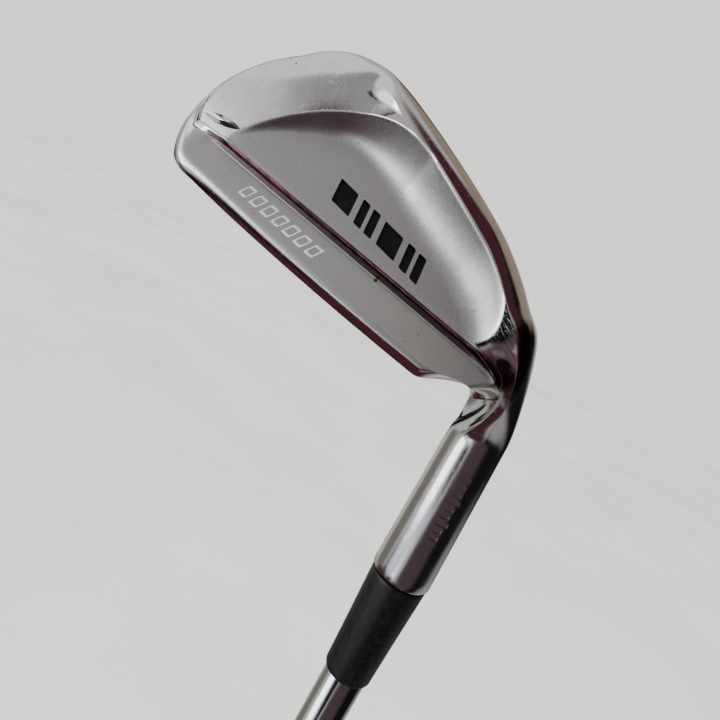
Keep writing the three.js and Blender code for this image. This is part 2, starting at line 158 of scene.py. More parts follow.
def smooth(t):
    t = np.clip(t, 0, 1)
    return t * t * (3 - 2 * t)


def soft_min(a, b, width):
    """The smaller of two values, with the corner between them rounded over a width."""
    share = np.maximum(width - np.abs(a - b), 0) / width
    return np.minimum(a, b) - share * share * width / 4


def soft_max(a, b, width):
    return -soft_min(-a, -b, width)


def over(value, start, width):
    """A soft step up from 0 to 1 once a value has passed its start."""
    return smooth((value - start) / width)


def under(value, end, width):
    """A soft step down to 0 as a value comes to its end."""
    return smooth((end - value) / width)


def ease_ends(count):
    """Shares from 0 to 1 that crowd towards both ends."""
    return (1 - np.cos(np.linspace(0, math.pi, count))) / 2


def quarter(count):
    """Angles over a right angle, without its end."""
    return np.linspace(0, math.pi / 2, count + 1)[:-1]


def whole_turn(count):
    return np.linspace(0, 2 * math.pi, count, endpoint=False)


SQUARE = ((-1, -1), (1, -1), (1, 1), (-1, 1))


def bezier(start, control, end, count):
    t = np.linspace(0, 1, count)[:, None]
    start, control, end = map(np.array, (start, control, end))
    return (1 - t) ** 2 * start + 2 * t * (1 - t) * control + t**2 * end


def distance_to(path, points):
    """Distance of each 2-D point from a 2-D polyline."""
    best = np.full(len(points), np.inf)
    for a, b in zip(path[:-1], path[1:]):
        run = b - a
        share = np.clip(((points - a) @ run) / (run @ run), 0, 1)
        best = np.minimum(best, np.hypot(*(points - a - share[:, None] * run).T))
    return best


def inside(path, points):
    """Whether each 2-D point is inside a 2-D outline."""
    odd = np.zeros(len(points), bool)
    for (ax, ay), (bx, by) in zip(path, np.roll(path, -1, 0)):
        if ay == by:
            continue
        crosses = (points[:, 1] > min(ay, by)) & (points[:, 1] <= max(ay, by))
        odd ^= crosses & (points[:, 0] < ax + (points[:, 1] - ay) * (bx - ax) / (by - ay))
    return odd


# ---- The head's lines ----


def toe_ellipse(x, reach):
    share = np.clip((x - TOE_CENTRE[0]) / TOE_REACH, 0, 1)
    return TOE_CENTRE[1] + reach * np.sqrt(1 - share * share)


def top_height(x):
    bow = np.maximum(TOP_CAMBER * (1 - ((x - TOP_MIDDLE) / TOP_MIDDLE) ** 2), 0)
    return soft_min(TOP_HEIGHT + TOP_SLOPE * x + bow, toe_ellipse(x, TOE_RISE), CORNER_BLEND)


def low_height(x):
    heel = HEEL_RISE * np.clip((HEEL_RISE_FROM - x) / HEEL_RISE_RUN, 0, 2) ** 2
    camber = LEADING_EDGE + (x - SOLE_MIDDLE) ** 2 / (2 * SOLE_CAMBER) + heel
    share = np.clip((x - TOE_TURN) / (TOE_TIP - TOE_TURN), 0, 0.999)
    return soft_max(camber, TOE_CENTRE[1] - TOE_DROP * np.sqrt(1 - share**TOE_CURVE), CORNER_BLEND)


def heel_plan(x):
    """Share of the head's full depth that is left at x, towards the heel."""
    heel = np.clip((SOLE_WIDEST - x) / SOLE_WIDEST, 0, 1.1)
    return 1 - HEEL_PLAN * heel * heel


def sole_plan(x):
    """Share of the head's full depth at x."""
    toe = np.clip((x - SOLE_WIDEST) / TOE_PLAN, 0, 0.98)
    return math.sqrt(1 - toe * toe) * heel_plan(x)


def sole_height(x, z):
    across = z * math.cos(LOFT) - SOLE_LOWEST
    rocker = (across * across - SOLE_LOWEST**2) / (2 * SOLE_ROCKER * math.cos(LOFT))
    heel = HEEL_LIFT * under(x, 14, 16) * (z / SOLE_WIDTH) ** 2
    return low_height(x) + z * math.tan(LOFT) + rocker + heel


def parting(x):
    return lerp(PARTING[0], PARTING[1], over(x, 44, 18))


def height_on(line, x):
    """Height at x of a straight line across the back, given by its height at the heel and its slope."""
    return line[0] + line[1] * x


PAD_SLOPE = (-0.173, -0.164)  # of the toe pad's surface, towards the toe and up the face
PAD_MIDDLE = (60, 30, 8.9)
PAD_BOW = 1100
CORNER_START = (50, 10)  # where the pad begins to fall away to the toe's lower corner
CORNER_FALL = 0.026


def pad_depth(x, y):
    """Depth of the toe pad: a tilted plane, a little domed, that falls away to the lower corner."""
    across, up = x - PAD_MIDDLE[0], y - PAD_MIDDLE[1]
    beyond = np.maximum(0.8 * (x - CORNER_START[0]) - 0.6 * (y - CORNER_START[1]), 0)
    dome = (across**2 + up**2) / PAD_BOW + CORNER_FALL * beyond**2
    return PAD_MIDDLE[2] + PAD_SLOPE[0] * across + PAD_SLOPE[1] * up - dome


def toe_outline():
    """The blade's edge seen square on, from the heel along the topline and round the toe to the sole."""
    top = np.array([(x, top_height(x)) for x in lerp(-1, TOE_TIP, np.sin(np.linspace(0, math.pi / 2, 160)))])
    low = np.array([(x, low_height(x)) for x in lerp(50, TOE_TIP, np.sin(np.linspace(math.pi / 2, 0, 80)))])
    return np.vstack([top, low[1:]])


OUTLINE = toe_outline()
FIELD_CORNER = (61.0, 44.0)  # where the line of the recess's lip would run out over the crest


def lip_line():
    """The recess's lip seen square on: down its toe side, along the sole and up to the crest at the heel."""
    toe = bezier((57.8, 35.6), (48, 16), (31, 12.6), 48)
    heel = bezier((12, 12.5), (-1, 13), (-6, 22), 30)
    return np.vstack([FIELD_CORNER, toe, heel])


LIP = lip_line()
FIELD = np.vstack([LIP, [(-9, 36), (20, 60), (66, 60)]])  # the whole recess, open over the crest
FIELD_WALL = 0.6  # how far over the rim the recess's wall would reach
WALL_WIDTH = (8.5, 4.6, 5.2)  # of the recess's hollow wall: along the sole, at the toe and at the heel
WALL_OUTSIDE = (0.5, 2.0)  # how much of it is outside the lip: along the sole and at the toe


def field_surface(x, y):
    """Depth of the recess's surface at each point of the back: a floor, and a hollow wall up to the lip."""
    plane = np.column_stack([x, y])
    within = distance_to(LIP, plane) * np.where(inside(FIELD, plane), 1, -1)
    toeward = over(x, 28, 20)
    width = lerp(lerp(WALL_WIDTH[0], WALL_WIDTH[1], toeward), WALL_WIDTH[2], under(x, 8, 12))
    share = (within + lerp(*WALL_OUTSIDE, toeward)) / width
    wall = np.where(share < 0, 1 - 2 * share, (1 - np.clip(share, 0, 1)) ** 2)
    return FIELD_FLOOR + (RIM_DEPTH * heel_plan(x) + FIELD_WALL - FIELD_FLOOR) * wall


# Counts of points on each stretch of a section of the blade.
FACE_COUNT = 46
TOP_COUNT = 16
STRIP_COUNT = 18
EDGE_COUNT = 7
BEVEL_COUNT = 18
INNER_COUNT = 52
OUTER_COUNT = 28
RIM_COUNT = 16
SOLE_COUNT = 46


def toe_crown(x, crown):
    """The back of a section at the toe: the pad, rolled over into the sole, with as many points as crown."""
    low = float(low_height(x))
    height = np.linspace(crown[0][0], low, 500)
    wall = np.linspace(0, 20, 300)
    steep = lerp(1.0, 2.2, over(x, 55, 17))
    sole = np.interp((height - low) * steep + low, np.maximum.accumulate(sole_height(x, wall)), wall)
    depth = soft_min(pad_depth(x, height), sole, lerp(1.2, 4.0, over(x, 45, 15)))
    depth += (crown[0][1] - depth[0]) * np.exp((height - height[0]) / 1.2)
    line = np.column_stack([height, np.maximum(depth, 0)])
    steps = np.hypot(*np.diff(crown, axis=0).T)
    share = np.concatenate([[0], np.cumsum(steps)]) / (steps.sum() + 0.3)
    run = np.concatenate([[0], np.cumsum(np.hypot(*np.diff(line, axis=0).T))])
    return np.column_stack([np.interp(share * run[-1], run, line[:, axis]) for axis in (0, 1)])


def stretch(start, end, count):
    """Points along a straight line, without its end."""
    return np.array(start) + np.linspace(0, 1, count + 1)[:-1, None] * (np.array(end) - np.array(start))


def blade_section(x):
    """Section at x as [y, z] points: up the face, over the topline, down the back, along the sole."""
    low, high = float(low_height(x)), float(top_height(x))
    plan, span = sole_plan(x), high - low
    strip = STRIP_DEPTH
    trailing = max(TRAILING_DEPTH * plan, strip * 0.9)
    rim_depth = max(RIM_DEPTH * plan, strip)
    trailing_height = min(float(sole_height(x, trailing)), low + span * 0.3)
    rim_height = float(np.minimum(soft_max(RIM_HEIGHT, trailing_height + 1.4 * plan, 3.0), low + span * 0.45))
    bevel_top = min(height_on(BEVEL_TOP, x), high - span * 0.12)
    crest = float(np.clip(height_on(CREST, x), rim_height + span * 0.1, bevel_top - BEVEL_LEAST))
    crest_depth = lerp(pad_depth(x, crest), CREST_DEPTH, under(x, 60, 8))
    strip_inside = lerp(strip, pad_depth(x, bevel_top), over(x, 60, 6))
    edge = min(0.5, span * 0.03)
    top_roll = min(3.0, span * 0.08)

    def muscle(share):
        height = lerp(crest - edge, rim_height, share)
        depth = lerp(crest_depth, rim_depth, share)
        on_pad = over(x, 38, 10) * over(share, 0, 0.12)
        return np.column_stack([height, lerp(depth, pad_depth(x, height), on_pad)])

    tries = np.linspace(0, 1, 240)
    line = muscle(tries)
    cut = line[:, 1] > field_surface(np.full(len(tries), x), line[:, 0])
    lip = 0.04 if not cut.any() else float(np.clip(tries[np.nonzero(cut)[0][-1]], 0.04, 0.96))
    inner = muscle(lip * np.sin(quarter(INNER_COUNT)))
    outer = muscle(lerp(lip, 1, 1 - np.cos(quarter(OUTER_COUNT))))
    sole_depths = np.linspace(trailing - RIM_ROUND * plan, 0, SOLE_COUNT + 1)[:-1]
    sole = np.array([(min(float(sole_height(x, depth)), trailing_height), depth) for depth in sole_depths])
    corner = (trailing_height + 0.2 * plan, rim_depth + 0.1)
    rim = bezier((rim_height, rim_depth), corner, tuple(sole[0]), RIM_COUNT + 1)[:-1]
    crown = np.vstack([inner, outer, rim, sole])
    roundness = over(x, 43, 9)
    if roundness > 0:
        crown = lerp(crown, toe_crown(x, crown), roundness)

    width = bevel_top - crest
    knee = (bevel_top - BEVEL_STEP * width, crest_depth - BEVEL_SLOPE * (1 - BEVEL_STEP) * width)
    knee = (knee[0], max(knee[1], strip_inside + 0.1))
    foot = stretch((bevel_top, strip_inside), knee, BEVEL_COUNT // 3)
    turn = quarter(TOP_COUNT)
    return np.vstack(
        [
            np.column_stack([lerp(low, high, ease_ends(FACE_COUNT + 1)[:-1]), np.zeros(FACE_COUNT)]),
            np.column_stack([high - top_roll * (1 - np.cos(turn)), strip * np.sin(turn) ** 0.5]),
            stretch((high - top_roll, strip), (bevel_top + edge, strip_inside), STRIP_COUNT),
            stretch((bevel_top + edge, strip_inside), (bevel_top, strip_inside), EDGE_COUNT),
            foot,
            stretch(knee, (crest, crest_depth), BEVEL_COUNT - len(foot)),
            stretch((crest, crest_depth), (crest - edge, crest_depth), EDGE_COUNT),
            crown,
        ]
    )


def soften(ring, rounds):
    """Rounds the corners of a closed ring a little."""
    for _ in range(rounds):
        ring = 0.25 * np.roll(ring, 1, 0) + 0.5 * ring + 0.25 * np.roll(ring, -1, 0)
    return ring


def rounded_edge(x, section):
    """The section with its topline and toe rounded off by each point's distance from the outline."""
    reach = distance_to(OUTLINE, np.column_stack([np.full(len(section), x), section[:, 0]]))
    middle = parting(x)
    back = section[:, 1] > middle
    radius = np.where(back, lerp(1.2, 2.2, over(x, 25, 40)), 1.4)
    miss = 1 - np.clip(reach / radius, 0, 1)
    kept = np.sqrt(1 - miss * miss)
    kept = lerp(1.0, kept, np.where(section[:, 0] > 20, 1.0, over(x, 50, 12)))
    return np.column_stack([section[:, 0], middle + (section[:, 1] - middle) * kept])


def soft_section(x):
    return soften(rounded_edge(x, soften(blade_section(x), 3)), 2)


def blade_ring(x):
    section = soft_section(x)
    return to_row(np.column_stack([np.full(len(section), x), section]))


def around_hosel(section):
    """Angle round the hosel at which each point of the heel section ends up, by its distance along it."""
    steps = np.hypot(*(np.roll(section, -1, 0) - section).T)
    travelled = np.concatenate([[0], np.cumsum(steps)[:-1]])
    face_middle = travelled[FACE_COUNT] / 2
    return 2 * math.pi * (face_middle - travelled) / steps.sum()


HEEL_SECTION = soft_section(NECK_PIVOT[0])
HOSEL_ANGLES = around_hosel(HEEL_SECTION)
HEEL_DOWN = NECK_PIVOT[1] - HEEL_SECTION @ [math.cos(LOFT), -math.sin(LOFT)]
TOP_END = FACE_COUNT + TOP_COUNT
STRIP_END = TOP_END + STRIP_COUNT + EDGE_COUNT
INDEX = np.arange(len(HEEL_SECTION))
STRIP_STOP = math.radians(22)  # where round the neck the flat strip ends
STRIP_FADE = math.radians(10)
STRIP_DIP = 6.1  # how far the strip's upper edge has come down where it ends
STRIP_DIP_CURVE = 1.6
BEVEL_LEAN = 0.28  # how fast the strip's lower edge turns down round the neck
NECK_BEND = math.radians(24)  # how far round the neck the blade's planes run on
BEND_BLEND = math.radians(8)
ROUND_FROM = math.radians(15)  # where round the neck its back begins to take the hosel's round


def moved(start, end, new_start, new_end):
    """How far down the points of the heel section are, with one stretch of it moved to another."""
    return lerp(new_start, new_end, (HEEL_DOWN - start) / (end - start))


def neck_ring(angle):
    """Ring of the neck, in a plane through the pivot line.

    The blade runs on straight, and fades into the hosel.
    """
    pivot_x, pivot_height = NECK_PIVOT
    axis_distance = pivot_x * math.sin(LIE) + pivot_height * math.cos(LIE)
    turn = angle / LIE
    least, most = HEEL_DOWN.min(), HEEL_DOWN.max()
    heel_round = lerp(HEEL_ROUND[0], HEEL_ROUND[1], turn) + HEEL_ROUND[2] * math.sin(math.pi * turn)
    bent = float(soft_min(angle, NECK_BEND, BEND_BLEND))
    shoulder, bevel = HEEL_DOWN[TOP_END], HEEL_DOWN[STRIP_END]
    shoulder_now = shoulder + STRIP_DIP * (bent / STRIP_STOP) ** STRIP_DIP_CURVE
    bevel_now = bevel / (math.cos(bent) - BEVEL_LEAN * math.sin(bent))
    near, far = ((axis_distance + side * HOSEL_NECK_RADIUS) / math.cos(LIE - angle) for side in (-1, 1))
    inner = soft_min(near, least + CROTCH_RISE * turn, CROTCH_ROUND)
    outer = soft_min(most, far, heel_round)
    face = INDEX < FACE_COUNT
    down = np.select(
        [face, INDEX <= TOP_END, INDEX <= STRIP_END],
        [
            moved(least, most, inner, outer),
            moved(least, shoulder, inner, shoulder_now),
            moved(shoulder, bevel, shoulder_now, bevel_now),
        ],
        moved(bevel, most, bevel_now, outer),
    )
    steady = smooth(turn)
    round_down = lerp(inner, outer, (1 + np.sin(HOSEL_ANGLES)) / 2)
    down = lerp(down, round_down, np.where(face, steady, over(angle, ROUND_FROM, LIE - ROUND_FROM)))
    level = pivot_height - down * math.cos(angle)
    flat = (HEEL_SECTION[:, 1] + level * math.sin(LOFT)) / math.cos(LOFT) - FACE_PROGRESSION
    strip_fade = over(angle, STRIP_STOP, STRIP_FADE)
    web_fade = smooth(angle / NECK_BEND)
    onto_strip = np.clip((INDEX - FACE_COUNT) / TOP_COUNT, 0, 1) ** 2
    back_fade = lerp(lerp(web_fade, strip_fade, onto_strip), steady, over(INDEX, STRIP_END, 40))
    face_fade = lerp(steady, web_fade, over(INDEX, FACE_COUNT / 2, FACE_COUNT / 2))
    width = lerp(flat, -HOSEL_NECK_RADIUS * np.cos(HOSEL_ANGLES), np.where(face, face_fade, back_fade))
    outward = np.array([-math.cos(LIE - angle), 0, math.sin(LIE - angle)])
    pivot = np.array([0, 0, GROUND]) + pivot_x * TO_TOE + pivot_height * UP
    return pivot + down[:, None] * outward + width[:, None] * np.array([0, 1, 0])


def hosel_ring(from_ground, radius):
    level = np.full(len(HOSEL_ANGLES), GROUND - from_ground)
    return np.column_stack([-radius * np.sin(HOSEL_ANGLES), -radius * np.cos(HOSEL_ANGLES), level])


def cut_field(points):
    """Lowers the back inside the recess to its surface."""
    blade = to_blade(points)
    x, y, z = blade.T
    near = (z > 3) & (x > -14) & (y > 6)
    floor = np.full(len(z), 99.0)
    floor[near] = field_surface(x[near], y[near])
    blade[:, 2] = soft_min(z, floor, 0.6)
    return to_row(blade)


def stacked(levels):
    """Points and faces of a solid through closed outlines of equal count."""
    count = len(levels[0])
    here = range(count)
    last = (len(levels) - 1) * count
    faces = [[*here], [last + i for i in reversed(here)]]
    for first in range(0, last, count):
        for i in here:
            j = (i + 1) % count
            faces.append([first + i, first + count + i, first + count + j, first + j])
    return np.vstack(levels), faces


def closed_skin(rings):
    """The same through rings, with a fan at each end."""
    points, (start, end, *sides) = stacked(rings)
    for middle, ring in enumerate((start, end), len(points)):
        sides += [[a, b, middle] for a, b in zip(ring, ring[1:] + ring[:1])]
    return np.vstack([points, rings[0].mean(0), rings[-1].mean(0)]), sides


def blend_rings(rings, middle, spread, rounds):
    """Evens out the rings either side of one of them, along the run of the head."""
    stack = np.array(rings)
    near = np.arange(len(stack)) - middle
    weight = np.clip(1 - np.abs(near) / spread, 0, 1)[:, None, None] * 0.5
    for _ in range(rounds):
        average = stack.copy()
        average[1:-1] = (stack[:-2] + stack[2:]) / 2
        stack = stack + weight * (average - stack)
    return list(stack)


def head_rings():
    toe = lerp(50, TOE_TIP - 0.02, np.sin(np.linspace(math.pi / 2, 0, 110)))
    middle = np.linspace(50, NECK_PIVOT[0], 125)[1:]
    blade = [blade_ring(x) for x in np.concatenate([toe, middle])]
    neck = [neck_ring(angle) for angle in np.linspace(0, LIE, 60)[1:]]
    foot = NECK_PIVOT[1] * math.sin(LIE) - NECK_PIVOT[0] * math.cos(LIE)
    hosel = []
    for level in np.linspace(foot, HOSEL_TOP - 0.5, 16)[1:]:
        share = (level - foot) / (HOSEL_TOP - foot)
        hosel.append(hosel_ring(level, lerp(HOSEL_NECK_RADIUS, HOSEL_TOP_RADIUS, share)))
    lip = [hosel_ring(HOSEL_TOP - down, HOSEL_TOP_RADIUS - inward) for down, inward in HOSEL_LIP]
    rings = blend_rings([*blade, *neck], len(blade), 9, 12)
    rings = blend_rings([*rings, *hosel], len(rings) - 1, 7, 10)
    return [*rings, *lip]


def linked(name, data):
    """A new object in the scene."""
    thing = bpy.data.objects.new(name, data)
    bpy.context.scene.collection.objects.link(thing)
    return thing


def new_mesh(name, vertices, faces):
    """An object from vertices in millimetres, smooth shaded."""
    mesh = bpy.data.meshes.new(name)
    mesh.from_pydata((np.asarray(vertices) * MM).tolist(), [], faces)
    mesh.update()
    mesh.shade_smooth()
    return linked(name, mesh)


def head():
    """The head's whole skin, before anything is cut into it."""
    vertices, faces = closed_skin(head_rings())
    return new_mesh("head_body", cut_field(vertices), faces)


# ---- Cutters ----


def looped(rows, columns):
    """Faces of a skin that closes on itself along its rows and along its columns."""
    row, column = np.meshgrid(np.arange(rows), np.arange(columns), indexing="ij")
    after_row, after_column = (row + 1) % rows, (column + 1) % columns
    corners = [row * columns + column, row * columns + after_column]
    corners += [after_row * columns + after_column, after_row * columns + column]
    return np.dstack(corners).reshape(-1, 4).tolist()


def at_depth(outline, depth):
    return np.column_stack([outline, np.full(len(outline), depth)])


def loft(levels):
    """A solid in the blade's axes through outlines of [x, y] points, each given with its depth."""
    points, faces = stacked([at_depth(outline, depth) for outline, depth in levels])
    return to_row(points), faces


def prism(outline, start, end):
    return loft([(outline, start), (outline, end)])


def frame_prism(outer, inner, start, end):
    """A prism with a hole: the wall between two outlines of equal count."""
    levels = [at_depth(outer, start), at_depth(inner, start), at_depth(inner, end), at_depth(outer, end)]
    return to_row(np.vstack(levels)), looped(4, len(outer))


def joined(name, solids):
    """One object from several separate solids."""
    vertices, faces = [], []
    for points, own in solids:
        faces += [[len(vertices) + index for index in face] for face in own]
        vertices.extend(points)
    return new_mesh(name, vertices, faces)


def cut(piece, cutter):
    """Takes the cutter away from the piece for good."""
    made = piece.modifiers.new("cut", "BOOLEAN")
    made.operation = "DIFFERENCE"
    made.solver = "MANIFOLD"
    made.object = cutter
    graph = bpy.context.evaluated_depsgraph_get()
    mesh = bpy.data.meshes.new_from_object(piece.evaluated_get(graph))
    piece.modifiers.clear()
    piece.data = mesh
    bpy.data.objects.remove(cutter)


SCORE_COUNT = 13
SCORE_PITCH = 2.9
SCORE_FIRST = 7
SCORE_WIDTH = 0.85
SCORE_DEPTH = 0.45
SCORE_SPAN = (6, 58)
SCORE_MARGIN = 4
SCORE_FLOOR = 0.28  # width of its flat floor
SCORE_SLOPE = 0.4  # how much wider than its line the cutter is where it stands out
SCORE_OVER = 0.3  # how far its cutter stands out of the face


def score_line(index):
    """Cutter for one score line of the strike face."""
    y = SCORE_FIRST + index * SCORE_PITCH
    tries = np.linspace(*SCORE_SPAN, 200)
    clear = tries[(top_height(tries) - SCORE_MARGIN > y) & (low_height(tries) + SCORE_MARGIN / 2 < y)]
    half, floor = (SCORE_WIDTH + SCORE_SLOPE) / 2, SCORE_FLOOR / 2
    section = [(y - half, -SCORE_OVER), (y + half, -SCORE_OVER)]
    section += [(y + floor, SCORE_DEPTH), (y - floor, SCORE_DEPTH)]
    points, faces = stacked([[(x, *point) for point in section] for x in (clear.min(), clear.max())])
    return to_row(points), faces


MARK_ROW = ((34.9, 28.2), (17.0, 23.7))  # first and last of the painted marks on the recess's floor
MARK_COUNT = 4
LOZENGE_SIZE = (4.8, 4.59)
BAR_SIZE = (1.92, 4.86)
BAR_ASIDE = 1.4
MARK_SLANT = 0.45
MARK_DEPTH = 0.55
NAME_ROW = ((46.6, 43.7), (29.2, 38.1))  # the same for the row of small outlines on the strip
NAME_COUNT = 7
NAME_SIZE = (2.15, 2.88)
NAME_SLANT = -0.35
NAME_LINE = 0.42
NAME_DEPTH = 0.12
MARK_CORNER = 0.3  # radius of every mark's corners


def row_axes(row):
    """Directions along a row of marks and across it."""
    along = np.subtract(row[1], row[0])
    along = along / np.hypot(*along)
    return along, np.array([along[1], -along[0]])


def row_places(row, count):
    """Middles of the marks of a row."""
    return [lerp(np.array(row[0]), np.array(row[1]), index / (count - 1)) for index in range(count)]


def slanted(middle, along, across, size, slant, round_count=5):
    """A lozenge with round corners, as [x, y] points about a middle."""
    points = []
    for index, (u, v) in enumerate(SQUARE):
        for turn in np.linspace(0, math.pi / 2, round_count):
            angle = math.pi + index * math.pi / 2 + turn
            a = u * (size[0] / 2 - MARK_CORNER) + MARK_CORNER * math.cos(angle)
            b = v * (size[1] / 2 - MARK_CORNER) + MARK_CORNER * math.sin(angle)
            points.append(middle + along * (a + slant * b) + across * b)
    return np.array(points)


def painted_outlines():
    """Outlines of the four marks on the recess's floor, by turns one lozenge and a pair of bars."""
    axes = row_axes(MARK_ROW)
    outlines = []
    for index, middle in enumerate(row_places(MARK_ROW, MARK_COUNT)):
        if index % 2 == 0:
            outlines.append(slanted(middle, *axes, LOZENGE_SIZE, MARK_SLANT))
        else:
            for side in (-1, 1):
                outlines.append(slanted(middle + side * BAR_ASIDE * axes[0], *axes, BAR_SIZE, MARK_SLANT))
    return outlines


PAINTED = painted_outlines()


def name_outlines():
    """Cutters for the row of small outlines on the strip."""
    axes = row_axes(NAME_ROW)
    for middle in row_places(NAME_ROW, NAME_COUNT):
        outer = slanted(middle, *axes, NAME_SIZE, NAME_SLANT)
        inner = middle + (outer - middle) * (1 - 2 * NAME_LINE / NAME_SIZE[0])
        yield frame_prism(outer, inner, STRIP_DEPTH - NAME_DEPTH, STRIP_DEPTH + 1)


STAMP_LEVELS = (38.6, 52.0)  # heights over the ground, along the shaft, of the stamped dashes' ends
STAMP_COUNT = 9
STAMP_TURN = math.radians(118)  # round the hosel from the toe
STAMP_SIZE = (0.9, 0.5)
STAMP_LONG = 1.6  # how much longer every third dash is

EYE = ((66.8, 43.6), (57.8, 39.4))  # the small groove from which the bevel starts at the toe
EYE_WIDTH = 1.0
EYE_FLOOR = ((63.4, 41.9), (58.2, 39.6))  # its dark floor
EYE_FLOOR_WIDTH = 0.55
EYE_DEPTH = 0.8


def lens(ends, width):
    """The lens shape between two points, as [x, y] points."""
    start, end = np.array(ends)
    middle, half = (start + end) / 2, (end - start) / 2
    across = np.array([-half[1], half[0]]) / np.hypot(*half)
    turn = whole_turn(48)
    aside = width * np.sin(turn) * np.abs(np.sin(turn)) ** 0.4
    return middle + np.cos(turn)[:, None] * half + aside[:, None] * across


def eye():
    """Cutter for the groove at the bevel's start: sloping walls down to a small floor."""
    mouth, bottom = lens(EYE, EYE_WIDTH), lens(EYE_FLOOR, EYE_FLOOR_WIDTH)
    surface = pad_depth(*mouth.T)
    return loft([(bottom, pad_depth(*bottom.T) - EYE_DEPTH), (mouth, surface), (mouth, 14)])


def stamp(index):
    """Cutter for one small dash on the hosel."""
    level = GROUND - lerp(*STAMP_LEVELS, index / (STAMP_COUNT - 1))
    out = np.array([math.cos(STAMP_TURN), math.sin(STAMP_TURN), 0])
    side = np.array([-out[1], out[0], 0])
    up = np.array([0, 0, 1])
    long = STAMP_SIZE[0] if index % 3 else STAMP_SIZE[0] * STAMP_LONG
    corners = [a * long * side + b * STAMP_SIZE[1] * up for a, b in SQUARE]
    middle = np.array([0, 0, level])
    return stacked([middle + radius * out + corners for radius in (HOSEL_NECK_RADIUS, HOSEL_NECK_RADIUS + 2)])


BORE_RADIUS = 4.95
BORE_DEPTH = 31
BORE_CHAMFER = 0.8


def circle(radius, z, count):
    angles = whole_turn(count)
    return np.column_stack([radius * np.cos(angles), radius * np.sin(angles), np.full(count, z)])


def bore():
    """Cutter for the hosel's bore, with a chamfer at its mouth."""
    top, mouth = GROUND - HOSEL_TOP, BORE_RADIUS + BORE_CHAMFER
    levels = [(mouth, top - 2), (mouth, top), (BORE_RADIUS, top + BORE_CHAMFER)]
    levels.append((BORE_RADIUS, top + BORE_DEPTH))
    return stacked([circle(radius, z, 96) for radius, z in levels])


def outward(thing):
    """Turns a closed body's faces outwards."""
    made = bmesh.new()
    made.from_mesh(thing.data)
    bmesh.ops.recalc_face_normals(made, faces=made.faces)
    made.to_mesh(thing.data)
    made.free()
    return thing


# ---- The parts ----


def store(mesh, name, values):
    """Keeps a value or a vector for each vertex, for the materials."""
    kind, field = ("FLOAT", "value") if np.ndim(values) == 1 else ("FLOAT_VECTOR", "vector")
    layer = mesh.attributes.new(name, kind, "POINT")
    layer.data.foreach_set(field, np.ascontiguousarray(values, np.float32).ravel())


def blade_places(items, name):
    """Where the items of a mesh are, in blade axes."""
    values = np.empty(len(items) * 3)
    items.foreach_get(name, values)
    return to_blade(values.reshape(-1, 3) / MM)


def finish_masks(mesh):
    """Where each finish of the head is: brushed strip, blasted recess, satin face, painted dark reflection."""
    blade = blade_places(mesh.vertices, "co")
    x, y, z = blade.T
    edge = distance_to(OUTLINE, blade[:, :2])
    bevel, crest = height_on(BEVEL_TOP, x), height_on(CREST, x)
    strip = over(y - bevel, -0.25, 0.3) * over(z, 4.0, 0.4) * under(z, 5.2, 0.3)
    strip *= over(edge, 0.5, 0.6) * under(x, 66, 6)
    in_field = (z > 6.5) & (y > 9) & (y < crest + 0.1) & (x > -12)
    field = np.zeros(len(z))
    field[in_field] = under(np.abs(z[in_field] - field_surface(x[in_field], y[in_field])), 0.35, 0.3)
    # Painted dark reflection: masks that darken the chrome's colour on the bevel, the neck and the toe's edge,
    # where the chrome mirrors dark surroundings.
    on_bevel = over(y - crest, -0.1, 0.15) * under(y - bevel, 0.15, 0.15) * over(z, 4.7, 0.2)
    on_bevel *= under(z, 7.7, 0.2) * under(x, 64, 7) * (x > -4)
    neck = under(x, -1.5, 2.5) * over(x, -14, 4) * under(y, 25, 2.5) * over(z, 4.9, 1.2) * (y > 8)
    toe_edge = under(edge, 0.65, 0.35) * over(x, 45, 12) * (z > 2.2)
    store(mesh, "blade", blade)
    store(mesh, "painted_reflection", np.maximum.reduce([on_bevel, 0.96 * neck, 0.8 * toe_edge]))
    store(mesh, "strip", strip)
    store(mesh, "field", field)
    store(mesh, "face", under(z, 0.35, 0.2) * (x > -6))


def paint_marks(mesh, black, white):
    """Gives the paints' slots to the faces down in the marks, the eye and the outlines on the strip."""
    blade = blade_places(mesh.polygons, "center")
    x, y, z = blade.T
    plane = blade[:, :2]
    index = np.zeros(len(z), np.int32)
    for outline in PAINTED:
        middle = outline.mean(0)
        wide = middle + (outline - middle) * 1.03
        index[inside(wide, plane) & (z > 6.4) & (z < FIELD_FLOOR - 0.12)] = black
    bottom = lens(EYE_FLOOR, EYE_FLOOR_WIDTH * 1.1)
    index[inside(bottom, plane) & (z < pad_depth(x, y) - 0.9 * EYE_DEPTH) & (z > 3)] = black
    along, across = row_axes(NAME_ROW)
    run = (plane - NAME_ROW[0]) @ along
    aside = (plane - NAME_ROW[0]) @ across
    on_row = (run > -3) & (run < math.dist(*NAME_ROW) + 3) & (np.abs(aside) < 2)
    index[on_row & (np.abs(z - STRIP_DEPTH + NAME_DEPTH) < 0.02)] = white
    mesh.polygons.foreach_set("material_index", index)


def clubhead():
    piece = head()
    cutters = [prism(outline, FIELD_FLOOR - MARK_DEPTH, FIELD_FLOOR + 4) for outline in PAINTED]
    cutters += [score_line(index) for index in range(SCORE_COUNT)]
    cutters += list(name_outlines())
    cutters += [stamp(index) for index in range(STAMP_COUNT)]
    cutters += [bore(), eye()]
    cut(piece, outward(joined("cutters", cutters)))
    mesh = piece.data
    mesh.shade_smooth()
    mesh.set_sharp_from_angle(angle=math.radians(38))
    finish_masks(mesh)
    mesh.materials.clear()
    for finish in (chrome(), mark_paint(), name_paint()):
        mesh.materials.append(finish)
    paint_marks(mesh, 1, 2)
    return piece


